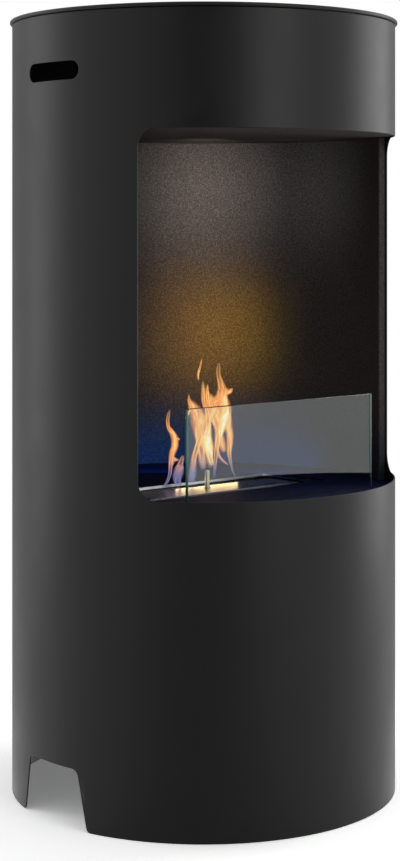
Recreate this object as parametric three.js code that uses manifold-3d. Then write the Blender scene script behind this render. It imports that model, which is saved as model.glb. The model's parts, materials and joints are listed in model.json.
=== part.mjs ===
// Free-standing round bioethanol fireplace.
//
// Millimetres, +Z up. The origin is the centre of the base circle, on the floor.
// The window faces -Y, and +X is to the right of someone who looks into it.
// A bearing is the angle from the front, in degrees, positive towards +X.

import * as THREE from 'three';
import { mergeVertices } from 'three/addons/utils/BufferGeometryUtils.js';
import Module from 'manifold-3d';

const wasm = await Module();
wasm.setup();

// ---------------------------------------------------------------- driving dimensions

const gap = 0.3; // between neighbouring pieces that rest on each other
const bodyRadius = 250;
const bodyHeight = 996;
const shellSheet = 2;

const lidOverhang = 3;
const lidThickness = 5;

const windowBottom = 404;
const windowTop = 847;
const windowHalfAngle = 59.7;
const windowCorner = 25;

const gripLength = 100;
const gripHeight = 22.5;
const gripCentre = 920;

const notchHeight = 73;
const notchTopWidth = 94;
const notchBottomWidth = 126;
const notchCorner = 10;
const footCorner = 7;

const floorTop = 389.5;
const plateSheet = 2; // firebox floor and ceiling
const plateRadius = 247.5;
const ceilingBottom = 849;

const linerRadius = 240;
const linerSheet = 1.5;
const linerHalfAngle = 60.2;

const paneDistance = 150; // from the axis to the middle of the glass
const paneWidth = 318;
const paneThickness = 5;
const paneTop = 511.5;
const channelDepth = 13;
const channelSheet = 1.2;
const sealThickness = 1.2;
const paneClearance = 0.4; // between the glass and the seal

// the burner lies a little below the floor, in a well cut in it
const wellLength = 334;
const wellFront = -62;
const wellBack = 48;
const burnerSeat = 385; // height of the ledges that carry the burner

const topPlateLength = 330;
const topPlateFront = -54.3;
const topPlateBack = 41.3;
const topPlateSheet = 1.3;
const mouthLength = 252;
const mouthFront = 9;
const mouthBack = 34;
const lipHeight = 3.4;
const lipLength = 282;
const lipSheet = 1.1;

const tankLength = 286;
const tankFront = -51;
const tankBack = 38;
const tankDepth = 60;
const tankSheet = 1;
const woolHeight = 46;

const burnerLidLength = 258;
const burnerLidWidth = 53.5;
const burnerLidBack = 10; // where its back edge lies when the mouth is open
const burnerLidSheet = 1.1;
const railFoot = 9;
const railReach = 4; // how far it reaches over the lid
const railClearance = 0.6;
const railSheet = 1;
const pinRadius = 3.25;
const pinShankRadius = 2;
const pinRounding = 2;
const pinHeight = 23;
const pinY = -5;

const trayMargin = 4; // between the tank and the wall of the safety tray
const traySheet = 1.2;
const trayFlange = 22; // the long flanges that are bolted under the floor
const trayLedge = 24; // the short ledges that the burner rests on
const trayStudX = 110;
const trayStudInset = 8;
const trayStudRadius = 1.9;
const trayHoleRadius = 2.3;
const trayStudLength = 8;

const fixingBearings = [65, 135, 225, 295];
const fixingRadius = 232;
const fixingStudRadius = 2.9;
const fixingHoleRadius = 3.3;
const fixingStudLength = 10;
const fixingNutWidth = 10;
const fixingNutHeight = 4.5;
const trayNutWidth = 7;
const trayNutHeight = 3.2;
const bracketWidth = 30;
const bracketReach = 25;
const bracketSheet = 2;
const bracketLeg = 28; // how far its leg runs along the shell
const bracketWall = 247.2; // from the axis to the leg that is welded to the shell

const baseRingBottom = 76; // just above the foot notches, out of sight
const baseRingHeight = 26;
const baseRingReach = 25;

const seamStripWidth = 34;
const seamStripSheet = 1.5;
const seamPocketWidth = 38; // cut in each round plate so that it clears the strip
const seamPocketDepth = 3;

// ---------------------------------------------------------------- derived places

const shellInner = bodyRadius - shellSheet;
const shellTop = bodyHeight - lidThickness - gap;
const lidBottom = bodyHeight - lidThickness;
const floorBottom = floorTop - plateSheet;
const ceilingTop = ceilingBottom + plateSheet;
const topPlateBottom = burnerSeat + gap;
const topPlateTop = topPlateBottom + topPlateSheet;
const burnerLidBottom = topPlateTop + gap;
const burnerLidTop = burnerLidBottom + burnerLidSheet;
const tankTop = topPlateBottom - gap;
const tankBottom = tankTop - tankDepth;
const channelTop = floorBottom - gap;
const channelBottom = channelTop - channelDepth;
const sealInnerHalf = paneThickness / 2 + paneClearance;
const channelInnerHalf = sealInnerHalf + sealThickness + 0.1;
const sealBottom = channelBottom + channelSheet + 0.1;
const paneBottom = sealBottom + sealThickness + gap;
const traySide = tankLength / 2 + trayMargin + traySheet;
const trayFront = tankFront - trayMargin - traySheet;
const trayBack = tankBack + trayMargin + traySheet;
const trayStudPlaces = [-1, 1].flatMap((side) => [
  [side * trayStudX, trayFront - trayFlange + trayStudInset],
  [side * trayStudX, trayBack + trayFlange - trayStudInset],
]);

// ---------------------------------------------------------------- materials

function steel(colour, roughness, metalness) {
  return new THREE.MeshStandardMaterial({ color: colour, roughness, metalness });
}

const blackPowderCoat = steel(0x2e2f2e, 0.55, 0.2);
const linerCoat = steel(0x3a3634, 0.6, 0.2);
const floorCoat = steel(0x11131c, 0.15, 0.3);
const brushedStainless = steel(0xa9a7a2, 0.3, 1.0);
const brightPin = steel(0xe8dcc0, 0.25, 1.0);
const zincPlate = steel(0x8f9396, 0.4, 1.0);
const ceramicWool = steel(0xe9e4d8, 0.95, 0.0);
const sealStrip = steel(0x1b1b1c, 0.9, 0.0);
const toughGlass = new THREE.MeshStandardMaterial({
  color: 0xcfe6e0,
  roughness: 0.03,
  metalness: 0.0,
  transparent: true,
  opacity: 0.3,
});

// ---------------------------------------------------------------- solids

function solidFrom(geometry) {
  const bare = geometry.clone();
  bare.deleteAttribute('normal');
  bare.deleteAttribute('uv');
  const merged = mergeVertices(bare, 1e-4);
  const corners = merged.index.array;
  const kept = [];
  for (let i = 0; i < corners.length; i += 3) {
    const [a, b, c] = corners.slice(i, i + 3);
    if (a !== b && b !== c && c !== a) {
      kept.push(a, b, c);
    }
  }
  return new wasm.Manifold(new wasm.Mesh({
    numProp: 3,
    vertProperties: merged.attributes.position.array,
    triVerts: Uint32Array.from(kept),
  }));
}

function geometryFrom(solid) {
  const mesh = solid.getMesh();
  const geometry = new THREE.BufferGeometry();
  geometry.setAttribute('position', new THREE.BufferAttribute(mesh.vertProperties, 3));
  geometry.setIndex(new THREE.BufferAttribute(mesh.triVerts, 1));
  const faceted = geometry.toNonIndexed();
  faceted.computeVertexNormals();
  return faceted;
}

function join(first, ...others) {
  let solid = solidFrom(first);
  for (const other of others) {
    solid = solid.add(solidFrom(other));
  }
  return geometryFrom(solid);
}

function cut(first, ...cutters) {
  let solid = solidFrom(first);
  for (const cutter of cutters) {
    solid = solid.subtract(solidFrom(cutter));
  }
  return geometryFrom(solid);
}

// ---------------------------------------------------------------- shapes

function radians(degrees) {
  return THREE.MathUtils.degToRad(degrees);
}

// the plan angle of a bearing: the front is -Y, which is -90 degrees in plan
function planAngle(bearing) {
  return radians(bearing - 90);
}

function planPoint(radius, bearing) {
  const angle = planAngle(bearing);
  return new THREE.Vector2(radius * Math.cos(angle), radius * Math.sin(angle));
}

function polygon(points) {
  return new THREE.Shape(points.map(([x, y]) => new THREE.Vector2(x, y)));
}

function circlePath(x, y, radius) {
  return new THREE.Path().absarc(x, y, radius, 0, 2 * Math.PI, false);
}

function rectanglePoints(left, front, right, back) {
  return [[left, front], [right, front], [right, back], [left, back]];
}

function roundedRectangle(left, front, right, back, radius) {
  const shape = new THREE.Shape();
  shape.absarc(right - radius, front + radius, radius, -Math.PI / 2, 0, false);
  shape.absarc(right - radius, back - radius, radius, 0, Math.PI / 2, false);
  shape.absarc(left + radius, back - radius, radius, Math.PI / 2, Math.PI, false);
  shape.absarc(left + radius, front + radius, radius, Math.PI, 1.5 * Math.PI, false);
  return shape;
}

// a plan outline raised from one height to another
function upright(shape, bottom, top, curveSegments = 6) {
  const settings = { depth: top - bottom, bevelEnabled: false, curveSegments };
  return new THREE.ExtrudeGeometry(shape, settings).translate(0, 0, bottom);
}

// an outline drawn in Y and Z, extruded along X
function alongX(shape, from, to, curveSegments = 6) {
  const geometry = upright(shape, from, to, curveSegments);
  const turn = new THREE.Matrix4().makeBasis(
    new THREE.Vector3(0, 1, 0),
    new THREE.Vector3(0, 0, 1),
    new THREE.Vector3(1, 0, 0),
  );
  return geometry.applyMatrix4(turn);
}

// an outline drawn in X and Z, extruded along Y
function alongY(shape, from, to) {
  const geometry = upright(shape, -to, -from);
  return geometry.rotateX(Math.PI / 2);
}

// a closed outline of radius and height, spun round the Z axis
function spun(outline, segments) {
  const points = outline.map(([radius, height]) => new THREE.Vector2(radius, height));
  return new THREE.LatheGeometry(points, segments).rotateX(Math.PI / 2);
}

function tube(innerRadius, outerRadius, bottom, top, segments) {
  return spun([
    [innerRadius, bottom],
    [outerRadius, bottom],
    [outerRadius, top],
    [innerRadius, top],
    [innerRadius, bottom],
  ], segments);
}

function stud(x, y, radius, bottom, top) {
  const round = new THREE.CylinderGeometry(radius, radius, top - bottom, 12);
  return round.rotateX(Math.PI / 2).translate(x, y, (top + bottom) / 2);
}

function hexNut(acrossFlats, height, holeRadius) {
  const corner = acrossFlats / Math.sqrt(3);
  const corners = [];
  for (let side = 0; side < 6; side += 1) {
    const angle = side * Math.PI / 3;
    corners.push([corner * Math.cos(angle), corner * Math.sin(angle)]);
  }
  const outline = polygon(corners);
  outline.holes.push(circlePath(0, 0, holeRadius));
  return upright(outline, 0, height);
}

// ---------------------------------------------------------------- outer shell

// cuts a window with round corners straight in towards the axis
function windowCutters() {
  const near = 200;
  const far = 300;
  const depth = far - near;
  const cornerBearing = windowHalfAngle - THREE.MathUtils.radToDeg(windowCorner / bodyRadius);
  const cutters = [];

  const tall = new THREE.Shape();
  tall.absarc(0, 0, far, planAngle(-cornerBearing), planAngle(cornerBearing), false);
  tall.absarc(0, 0, near, planAngle(cornerBearing), planAngle(-cornerBearing), true);
  cutters.push(upright(tall, windowBottom, windowTop));

  const height = windowTop - windowBottom;
  for (const side of [-1, 1]) {
    const slab = new THREE.BoxGeometry(2 * windowCorner, depth, height - 2 * windowCorner);
    slab.translate(0, -(near + depth / 2), (windowTop + windowBottom) / 2);
    cutters.push(slab.rotateZ(radians(side * cornerBearing)));
    for (const centre of [windowBottom + windowCorner, windowTop - windowCorner]) {
      const corner = new THREE.CylinderGeometry(windowCorner, windowCorner, depth, 40);
      corner.translate(0, -(near + depth / 2), centre);
      cutters.push(corner.rotateZ(radians(side * cornerBearing)));
    }
  }
  return cutters;
}

function gripCutter() {
  const halfChord = bodyRadius * Math.sin(gripLength / 2 / bodyRadius);
  const low = gripCentre - gripHeight / 2;
  const high = gripCentre + gripHeight / 2;
  const slot = roundedRectangle(-halfChord, low, halfChord, high, gripHeight / 2 - 0.01);
  return alongX(slot, -bodyRadius - 20, bodyRadius + 20, 5);
}

// a tapered notch: round at its two top corners, flared round at the floor
function notchCutter() {
  const halfTop = bodyRadius * Math.sin(notchTopWidth / 2 / bodyRadius);
  const halfBottom = bodyRadius * Math.sin(notchBottomWidth / 2 / bodyRadius);
  const lean = (halfBottom - halfTop) / notchHeight;
  const notch = new THREE.Shape();
  notch.moveTo(halfBottom + footCorner, -10);
  notch.lineTo(halfBottom + footCorner, 0);
  notch.quadraticCurveTo(halfBottom, 0, halfBottom - lean * footCorner, footCorner);
  notch.lineTo(halfTop + lean * notchCorner, notchHeight - notchCorner);
  notch.quadraticCurveTo(halfTop, notchHeight, halfTop - notchCorner, notchHeight);
  notch.lineTo(notchCorner - halfTop, notchHeight);
  notch.quadraticCurveTo(-halfTop, notchHeight, -halfTop - lean * notchCorner, notchHeight - notchCorner);
  notch.lineTo(lean * footCorner - halfBottom, footCorner);
  notch.quadraticCurveTo(-halfBottom, 0, -halfBottom - footCorner, 0);
  notch.lineTo(-halfBottom - footCorner, -10);
  return alongX(notch, -bodyRadius - 20, bodyRadius + 20, 5);
}

function outerShell() {
  const wall = tube(shellInner, bodyRadius, 0, shellTop, 120);
  return cut(wall, ...windowCutters(), gripCutter(), notchCutter());
}

// the strip behind the shell's butt seam, at the middle of the back
function rearSeamStrip() {
  const bottom = baseRingBottom + baseRingHeight + 4;
  const top = lidBottom - 6;
  const strip = new THREE.BoxGeometry(seamStripWidth, seamStripSheet, top - bottom);
  return strip.translate(0, bracketWall - seamStripSheet / 2, (top + bottom) / 2);
}

// clears the seam strip where a round plate passes it
function seamClearance(bottom, top) {
  const half = seamPocketWidth / 2;
  const pocket = rectanglePoints(-half, plateRadius - seamPocketDepth, half, bodyRadius + 10);
  return upright(polygon(pocket), bottom - 1, top + 1);
}

function baseRing() {
  const outer = bracketWall;
  const inner = outer - baseRingReach;
  const top = baseRingBottom + baseRingHeight;
  return spun([
    [inner, top - bracketSheet],
    [outer - bracketSheet, top - bracketSheet],
    [outer - bracketSheet, baseRingBottom],
    [outer, baseRingBottom],
    [outer, top],
    [inner, top],
    [inner, top - bracketSheet],
  ], 60);
}

// ---------------------------------------------------------------- lid

function fixingStuds(radius, bottom, top) {
  return fixingBearings.map((bearing) => {
    const spot = planPoint(fixingRadius, bearing);
    return stud(spot.x, spot.y, radius, bottom, top);
  });
}

function topLid() {
  const radius = bodyRadius + lidOverhang;
  const round = lidThickness / 2;
  const outline = [[0, lidBottom]];
  for (let step = 0; step <= 6; step += 1) {
    const angle = -Math.PI / 2 + Math.PI * step / 6;
    outline.push([
      radius - round + round * Math.cos(angle),
      lidBottom + round + round * Math.sin(angle),
    ]);
  }
  outline.push([0, bodyHeight]);
  const plate = spun(outline, 120);
  return join(plate, ...fixingStuds(fixingStudRadius, lidBottom - fixingStudLength, lidBottom + 1));
}

// ---------------------------------------------------------------- brackets

// An angle bracket at the front of the shell. The flat leg spans seatBottom to seatBottom
// plus its thickness, and the leg on the wall runs from there to wallEnd, up or down.
function angleBracket(seatBottom, wallEnd) {
  const outer = -bracketWall;
  const inner = outer + bracketReach;
  const seatTop = seatBottom + bracketSheet;
  const up = wallEnd > seatTop;
  const near = up ? seatTop : seatBottom;
  const far = up ? seatBottom : seatTop;
  const profile = polygon([
    [outer, far],
    [inner, far],
    [inner, near],
    [outer + bracketSheet, near],
    [outer + bracketSheet, wallEnd],
    [outer, wallEnd],
  ]);
  const angle = alongX(profile, -bracketWidth / 2, bracketWidth / 2);
  return cut(angle, stud(0, -fixingRadius, fixingHoleRadius, seatBottom - 1, seatTop + 1));
}

// the nut of the bracket at the front, its lower face at the given height
function fixingNut(bottom) {
  const nut = hexNut(fixingNutWidth, fixingNutHeight, fixingHoleRadius);
  return nut.translate(0, -fixingRadius, bottom);
}

// ---------------------------------------------------------------- firebox

function fireboxLiner() {
  const inside = linerRadius - linerSheet;
  const tip = plateRadius - 0.2;
  const rootBearing = linerHalfAngle + THREE.MathUtils.radToDeg(linerSheet / linerRadius);
  const tipBearing = linerHalfAngle + THREE.MathUtils.radToDeg(linerSheet / tip);
  const plan = new THREE.Shape();
  plan.absarc(0, 0, inside, planAngle(linerHalfAngle), planAngle(360 - linerHalfAngle), false);
  for (const [radius, bearing] of [
    [tip, -linerHalfAngle],
    [tip, -tipBearing],
  ]) {
    const corner = planPoint(radius, bearing);
    plan.lineTo(corner.x, corner.y);
  }
  plan.absarc(0, 0, linerRadius, planAngle(360 - rootBearing), planAngle(rootBearing), true);
  for (const [radius, bearing] of [
    [tip, tipBearing],
    [tip, linerHalfAngle],
  ]) {
    const corner = planPoint(radius, bearing);
    plan.lineTo(corner.x, corner.y);
  }
  return upright(plan, floorTop + gap, ceilingBottom - gap, 40);
}

function fireboxCeiling() {
  const disc = new THREE.Shape().absarc(0, 0, plateRadius, 0, 2 * Math.PI, false);
  const plate = cut(upright(disc, ceilingBottom, ceilingTop, 50), seamClearance(ceilingBottom, ceilingTop));
  const studs = fixingStuds(fixingStudRadius, ceilingTop - 1, ceilingTop + fixingStudLength);
  return join(plate, ...studs);
}

function fireboxFloor() {
  const disc = new THREE.Shape().absarc(0, 0, plateRadius, 0, 2 * Math.PI, false);
  const burnerWell = rectanglePoints(-wellLength / 2, wellFront, wellLength / 2, wellBack);
  const slotSide = paneWidth / 2 + 2;
  const slotReach = sealInnerHalf + sealThickness + gap;
  const paneSlot = rectanglePoints(-slotSide, -paneDistance - slotReach, slotSide, -paneDistance + slotReach);
  for (const hole of [burnerWell, paneSlot]) {
    disc.holes.push(new THREE.Path(hole.map(([x, y]) => new THREE.Vector2(x, y))));
  }
  const plate = cut(upright(disc, floorBottom, floorTop, 50), seamClearance(floorBottom, floorTop));
  const studs = fixingStuds(fixingStudRadius, floorBottom - fixingStudLength, floorBottom + 1);
  for (const [x, y] of trayStudPlaces) {
    studs.push(stud(x, y, trayStudRadius, floorBottom - trayStudLength, floorBottom + 1));
  }
  return join(plate, ...studs);
}

// ---------------------------------------------------------------- glass and its channel

// a U of the given inner width, wall and depth, open upwards, along X
function channelProfile(innerHalf, wall, bottom, top) {
  const outerHalf = innerHalf + wall;
  return polygon([
    [-paneDistance - outerHalf, top],
    [-paneDistance - outerHalf, bottom],
    [-paneDistance + outerHalf, bottom],
    [-paneDistance + outerHalf, top],
    [-paneDistance + innerHalf, top],
    [-paneDistance + innerHalf, bottom + wall],
    [-paneDistance - innerHalf, bottom + wall],
    [-paneDistance - innerHalf, top],
  ]);
}

function glassChannel() {
  const profile = channelProfile(channelInnerHalf, channelSheet, channelBottom, channelTop);
  return alongX(profile, -paneWidth / 2 - 2, paneWidth / 2 + 2);
}

function glassSeal() {
  const profile = channelProfile(sealInnerHalf, sealThickness, sealBottom, floorTop - 0.5);
  return alongX(profile, -paneWidth / 2 - 1, paneWidth / 2 + 1);
}

function glassPane() {
  const half = paneWidth / 2;
  const arris = 0.8;
  const face = roundedRectangle(-half, paneBottom, half, paneTop, 2);
  const settings = {
    depth: paneThickness - 2 * arris,
    bevelEnabled: true,
    bevelThickness: arris,
    bevelSize: arris,
    bevelOffset: -arris,
    bevelSegments: 1,
    curveSegments: 3,
  };
  const pane = new THREE.ExtrudeGeometry(face, settings).rotateX(Math.PI / 2);
  return pane.translate(0, -paneDistance - arris + paneThickness / 2, 0);
}

// ---------------------------------------------------------------- burner

function openBox(halfLength, front, back, bottom, top, sheet, corner) {
  const outside = roundedRectangle(-halfLength, front, halfLength, back, corner);
  const inside = roundedRectangle(
    -halfLength + sheet,
    front + sheet,
    halfLength - sheet,
    back - sheet,
    corner - sheet,
  );
  return cut(upright(outside, bottom, top, 3), upright(inside, bottom + sheet, top + 1, 3));
}

function burnerTank() {
  return openBox(tankLength / 2, tankFront, tankBack, tankBottom, tankTop, tankSheet, 5);
}

function woolBlock() {
  const side = tankLength / 2 - tankSheet - gap;
  const front = tankFront + tankSheet + gap;
  const back = tankBack - tankSheet - gap;
  const bottom = tankBottom + tankSheet + gap;
  return upright(roundedRectangle(-side, front, side, back, 4), bottom, bottom + woolHeight, 3);
}

function burnerTopPlate() {
  const side = topPlateLength / 2;
  const outline = roundedRectangle(-side, topPlateFront, side, topPlateBack, 3);
  const mouth = rectanglePoints(-mouthLength / 2, mouthFront, mouthLength / 2, mouthBack);
  outline.holes.push(new THREE.Path(mouth.map(([x, y]) => new THREE.Vector2(x, y))));
  const plate = upright(outline, topPlateBottom, topPlateTop, 3);
  const root = 0.5; // how deep the lip reaches into the plate
  const lip = new THREE.BoxGeometry(lipLength, lipSheet, lipHeight + root);
  lip.translate(0, mouthBack + 1 + lipSheet / 2, topPlateTop + (lipHeight - root) / 2);
  return join(plate, lip);
}

// a Z-shaped guide over one end of the lid; side is -1 or 1
function lidRail(side) {
  const end = burnerLidLength / 2 + railClearance;
  const foot = topPlateTop + gap;
  const over = burnerLidTop + gap;
  const profile = polygon([
    [side * (end + railFoot), foot],
    [side * end, foot],
    [side * end, over],
    [side * (end - railReach), over],
    [side * (end - railReach), over + railSheet],
    [side * (end + railSheet), over + railSheet],
    [side * (end + railSheet), foot + railSheet],
    [side * (end + railFoot), foot + railSheet],
  ]);
  return alongY(profile, burnerLidBack - burnerLidWidth - 2, mouthBack + 0.5);
}

function burnerLid() {
  const side = burnerLidLength / 2;
  const outline = polygon(rectanglePoints(-side, burnerLidBack - burnerLidWidth, side, burnerLidBack));
  outline.holes.push(circlePath(0, pinY, pinShankRadius + gap));
  return upright(outline, burnerLidBottom, burnerLidTop);
}

function lidPin() {
  const outline = [[0, burnerLidBottom], [pinShankRadius, burnerLidBottom]];
  const foot = burnerLidTop + 0.1;
  const top = burnerLidTop + pinHeight;
  outline.push([pinShankRadius, foot], [pinRadius, foot]);
  for (let step = 0; step <= 3; step += 1) {
    const angle = Math.PI / 2 * step / 3;
    outline.push([
      pinRadius - pinRounding + pinRounding * Math.cos(angle),
      top - pinRounding + pinRounding * Math.sin(angle),
    ]);
  }
  outline.push([0, top]);
  return spun(outline, 16).translate(0, pinY, 0);
}

// Long flanges under the floor at the front and back, and lower ledges at the ends.
function safetyTray() {
  const top = floorBottom - gap;
  const box = openBox(traySide, trayFront, trayBack, tankBottom - 8, top, traySheet, 6);
  const ends = [-1, 1].map((side) => {
    const clear = new THREE.BoxGeometry(20, trayBack - trayFront - 2 * traySheet, 10);
    return clear.translate(side * traySide, (trayFront + trayBack) / 2, burnerSeat + 5);
  });
  const flanges = [
    [trayFront - trayFlange, trayFront + traySheet],
    [trayBack - traySheet, trayBack + trayFlange],
  ].map(([front, back]) => {
    const strip = polygon(rectanglePoints(-traySide + 6, front, traySide - 6, back));
    for (const [x, y] of trayStudPlaces) {
      if (y > front && y < back) {
        strip.holes.push(circlePath(x, y, trayHoleRadius));
      }
    }
    return upright(strip, top - traySheet, top, 4);
  });
  const ledges = [-1, 1].map((side) => {
    const near = traySide - traySheet;
    const far = traySide + trayLedge;
    const strip = rectanglePoints(Math.min(side * near, side * far), trayFront + 6,
      Math.max(side * near, side * far), trayBack - 6);
    return upright(polygon(strip), burnerSeat - traySheet, burnerSeat);
  });
  return join(cut(box, ...ends), ...flanges, ...ledges);
}

// ---------------------------------------------------------------- assembly

function piece(parent, name, geometry, material) {
  const mesh = new THREE.Mesh(geometry, material.clone());
  mesh.name = name;
  parent.add(mesh);
  return mesh;
}

// four like pieces, each turned to its own fixing bearing
function piecesAtFixings(parent, name, geometry, material) {
  fixingBearings.forEach((bearing, index) => {
    const mesh = piece(parent, `${name}_${index + 1}`, geometry, material);
    mesh.rotation.z = radians(bearing);
  });
}

function casing() {
  const group = new THREE.Group();
  piece(group, 'outer_shell', outerShell(), blackPowderCoat);
  piece(group, 'rear_seam_strip', rearSeamStrip(), zincPlate);
  piece(group, 'base_ring', baseRing(), blackPowderCoat);
  piece(group, 'top_lid', topLid(), blackPowderCoat);
  const seat = shellTop - bracketSheet;
  piecesAtFixings(group, 'lid_bracket', angleBracket(seat, seat - bracketLeg), zincPlate);
  piecesAtFixings(group, 'lid_nut', fixingNut(seat - gap - fixingNutHeight), zincPlate);
  return group;
}

function firebox() {
  const group = new THREE.Group();
  piece(group, 'firebox_liner', fireboxLiner(), linerCoat);
  piece(group, 'firebox_ceiling', fireboxCeiling(), linerCoat);
  piece(group, 'firebox_floor', fireboxFloor(), floorCoat);

  const over = ceilingTop + gap;
  piecesAtFixings(group, 'ceiling_bracket', angleBracket(over, over + bracketLeg), zincPlate);
  piecesAtFixings(group, 'ceiling_nut', fixingNut(over + bracketSheet + gap), zincPlate);

  const under = floorBottom - gap - bracketSheet;
  piecesAtFixings(group, 'floor_bracket', angleBracket(under, under - bracketLeg), zincPlate);
  piecesAtFixings(group, 'floor_nut', fixingNut(under - gap - fixingNutHeight), zincPlate);

  piece(group, 'glass_channel', glassChannel(), zincPlate);
  piece(group, 'glass_seal', glassSeal(), sealStrip);
  piece(group, 'glass_pane', glassPane(), toughGlass);
  return group;
}

function tray() {
  const group = new THREE.Group();
  piece(group, 'safety_tray', safetyTray(), zincPlate);
  const nutBottom = floorBottom - gap - traySheet - gap - trayNutHeight;
  trayStudPlaces.forEach(([x, y], index) => {
    const nut = hexNut(trayNutWidth, trayNutHeight, trayHoleRadius);
    piece(group, `tray_nut_${index + 1}`, nut, zincPlate).position.set(x, y, nutBottom);
  });
  return group;
}

function burner() {
  const group = new THREE.Group();
  piece(group, 'burner_tank', burnerTank(), brushedStainless);
  piece(group, 'burner_top_plate', burnerTopPlate(), brushedStainless);
  piece(group, 'wool_block', woolBlock(), ceramicWool);
  piece(group, 'lid_rail_left', lidRail(-1), brushedStainless);
  piece(group, 'lid_rail_right', lidRail(1), brushedStainless);
  piece(group, 'burner_lid', burnerLid(), brushedStainless);
  piece(group, 'lid_pin', lidPin(), brightPin);
  return group;
}

const fireplace = new THREE.Group();
fireplace.name = 'bioethanol_fireplace';
fireplace.add(casing(), firebox(), tray(), burner());

export default fireplace;
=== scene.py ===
"""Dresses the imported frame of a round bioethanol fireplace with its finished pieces, materials and stage.

Plans and sections are drawn in millimetres, and a mesh is made in metres. The window faces -Y and +Z is
up. A bearing is the angle from the front, positive towards +X.
"""

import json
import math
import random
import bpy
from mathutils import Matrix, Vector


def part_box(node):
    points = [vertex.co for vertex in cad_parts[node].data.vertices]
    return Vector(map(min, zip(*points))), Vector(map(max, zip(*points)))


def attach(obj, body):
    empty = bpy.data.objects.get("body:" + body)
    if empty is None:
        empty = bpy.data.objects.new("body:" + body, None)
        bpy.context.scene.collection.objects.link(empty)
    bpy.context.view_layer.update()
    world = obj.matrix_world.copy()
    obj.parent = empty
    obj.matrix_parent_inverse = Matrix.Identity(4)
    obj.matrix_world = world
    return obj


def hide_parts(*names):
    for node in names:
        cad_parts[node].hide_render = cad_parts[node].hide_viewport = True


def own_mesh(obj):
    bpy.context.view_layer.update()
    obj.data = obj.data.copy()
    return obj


bl_info = {
    "name": "Bioethanol fireplace",
    "version": (1, 0, 0),
    "blender": (4, 5, 0),
    "location": "3D View > Sidebar > Fireplace",
    "description": "Finished pieces, materials and stage for a round bioethanol fireplace",
    "category": "Add Mesh",
}

from bisect import bisect_right

import bpy
from bpy.props import FloatProperty, FloatVectorProperty, IntProperty, PointerProperty
from mathutils import Matrix, Vector
from mathutils.geometry import delaunay_2d_cdt

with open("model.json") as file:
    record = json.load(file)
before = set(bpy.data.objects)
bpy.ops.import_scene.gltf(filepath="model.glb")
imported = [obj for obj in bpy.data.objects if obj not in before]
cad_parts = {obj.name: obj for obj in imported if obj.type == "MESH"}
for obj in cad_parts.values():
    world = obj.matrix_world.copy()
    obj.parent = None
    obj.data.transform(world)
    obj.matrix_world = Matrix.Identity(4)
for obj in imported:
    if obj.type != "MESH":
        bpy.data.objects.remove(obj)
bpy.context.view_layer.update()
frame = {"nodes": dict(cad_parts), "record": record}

MM = 0.001
UP = Vector((0, 0, 1))

# ---------------------------------------------------------------- measures, in mm, as the CAD has them

BODY_RADIUS = 250
SHELL_SHEET = 2
SHELL_TOP = 990.7
LID_BOTTOM = 991
LID_TOP = 996
LID_RADIUS = 253

WINDOW_BOTTOM = 404
WINDOW_TOP = 847
WINDOW_HALF_ANGLE = 59.7
WINDOW_CORNER = 25

GRIP_LENGTH = 100
GRIP_HEIGHT = 22.5
GRIP_CENTRE = 920

NOTCH_HEIGHT = 73
NOTCH_TOP_WIDTH = 94
NOTCH_BOTTOM_WIDTH = 126
NOTCH_CORNER = 10
FOOT_CORNER = 7

FLOOR_TOP = 389.5
PLATE_SHEET = 2
PLATE_CORNER = 3
CUT_CORNER = 1.5
STRIP_CORNER = 1.0
PLATE_RADIUS = 247.5
CEILING_BOTTOM = 849
SEAM_POCKET = (38, 3)
SEAM_CORNER = 1.0

LINER_RADIUS = 240
LINER_SHEET = 1.5
LINER_HALF_ANGLE = 60.2
LINER_BEND = 2.5
LINER_TIP = PLATE_RADIUS - 0.2

PANE_DISTANCE = 150
PANE_WIDTH = 318
PANE_THICKNESS = 5
PANE_TOP = 511.5
PANE_SLOT_HALF = 4.4
PANE_SLOT_SPARE = 2
PANE_ARRIS = 0.8
PANE_CORNER = 2.0

WELL = (-167, -62, 167, 48)
TOP_PLATE = (-165, -54.3, 165, 41.3)
TOP_PLATE_BOTTOM = 385.3
TOP_PLATE_SHEET = 1.3
TOP_PLATE_EDGE = 0.15
MOUTH = (-126, 9, 126, 34)
LIP_LENGTH = 282
LIP_HEIGHT = 3.4
LIP_SHEET = 1.1
LIP_EDGE = 0.4
LIP_CORNER = 1.2
LIP_BEHIND_MOUTH = 1
LIP_TURN = 16
LIP_BEND = 2.5
LIP_LEAN = 0.3
TANK = (-143, -51, 143, 38)
TANK_TOP = 385
TANK_BOTTOM = 325
TANK_SHEET = 1
TANK_PRESS = 4.0
TANK_CORNER = 6
TANK_RIM = 0.3
BURNER_LID = (-129, -43.5, 129, 10)
LID_SHEET = 1.1
LID_EDGE = 0.12
LID_HOLE_RADIUS = 2.3
PIN_Y = -5
PIN_RADIUS = 3.25
PIN_HEIGHT = 23
PIN_TOP_ROUND = 2
PIN_RIVET_RADIUS = 2.0
PIN_COLLAR = 1.3
RAIL_Y = (-45.5, 34.5)
RAIL_SHEET = 1.0
RAIL_EDGE = 0.3
RAIL_SPARE = 0.6
RAIL_FOOT_BEND = 0.3
RAIL_TOP_BEND = 1.2
RAIL_FOOT = 9
RAIL_COVER = 4
WOOL_CORNER = 6
WOOL_BULGE = 2.2
WOOL_SOFTENING = 2.0
WOOL_SHOVE = 0.35
WOOL_LIFT = 0.3
WOOL_SAG = 0.6

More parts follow.
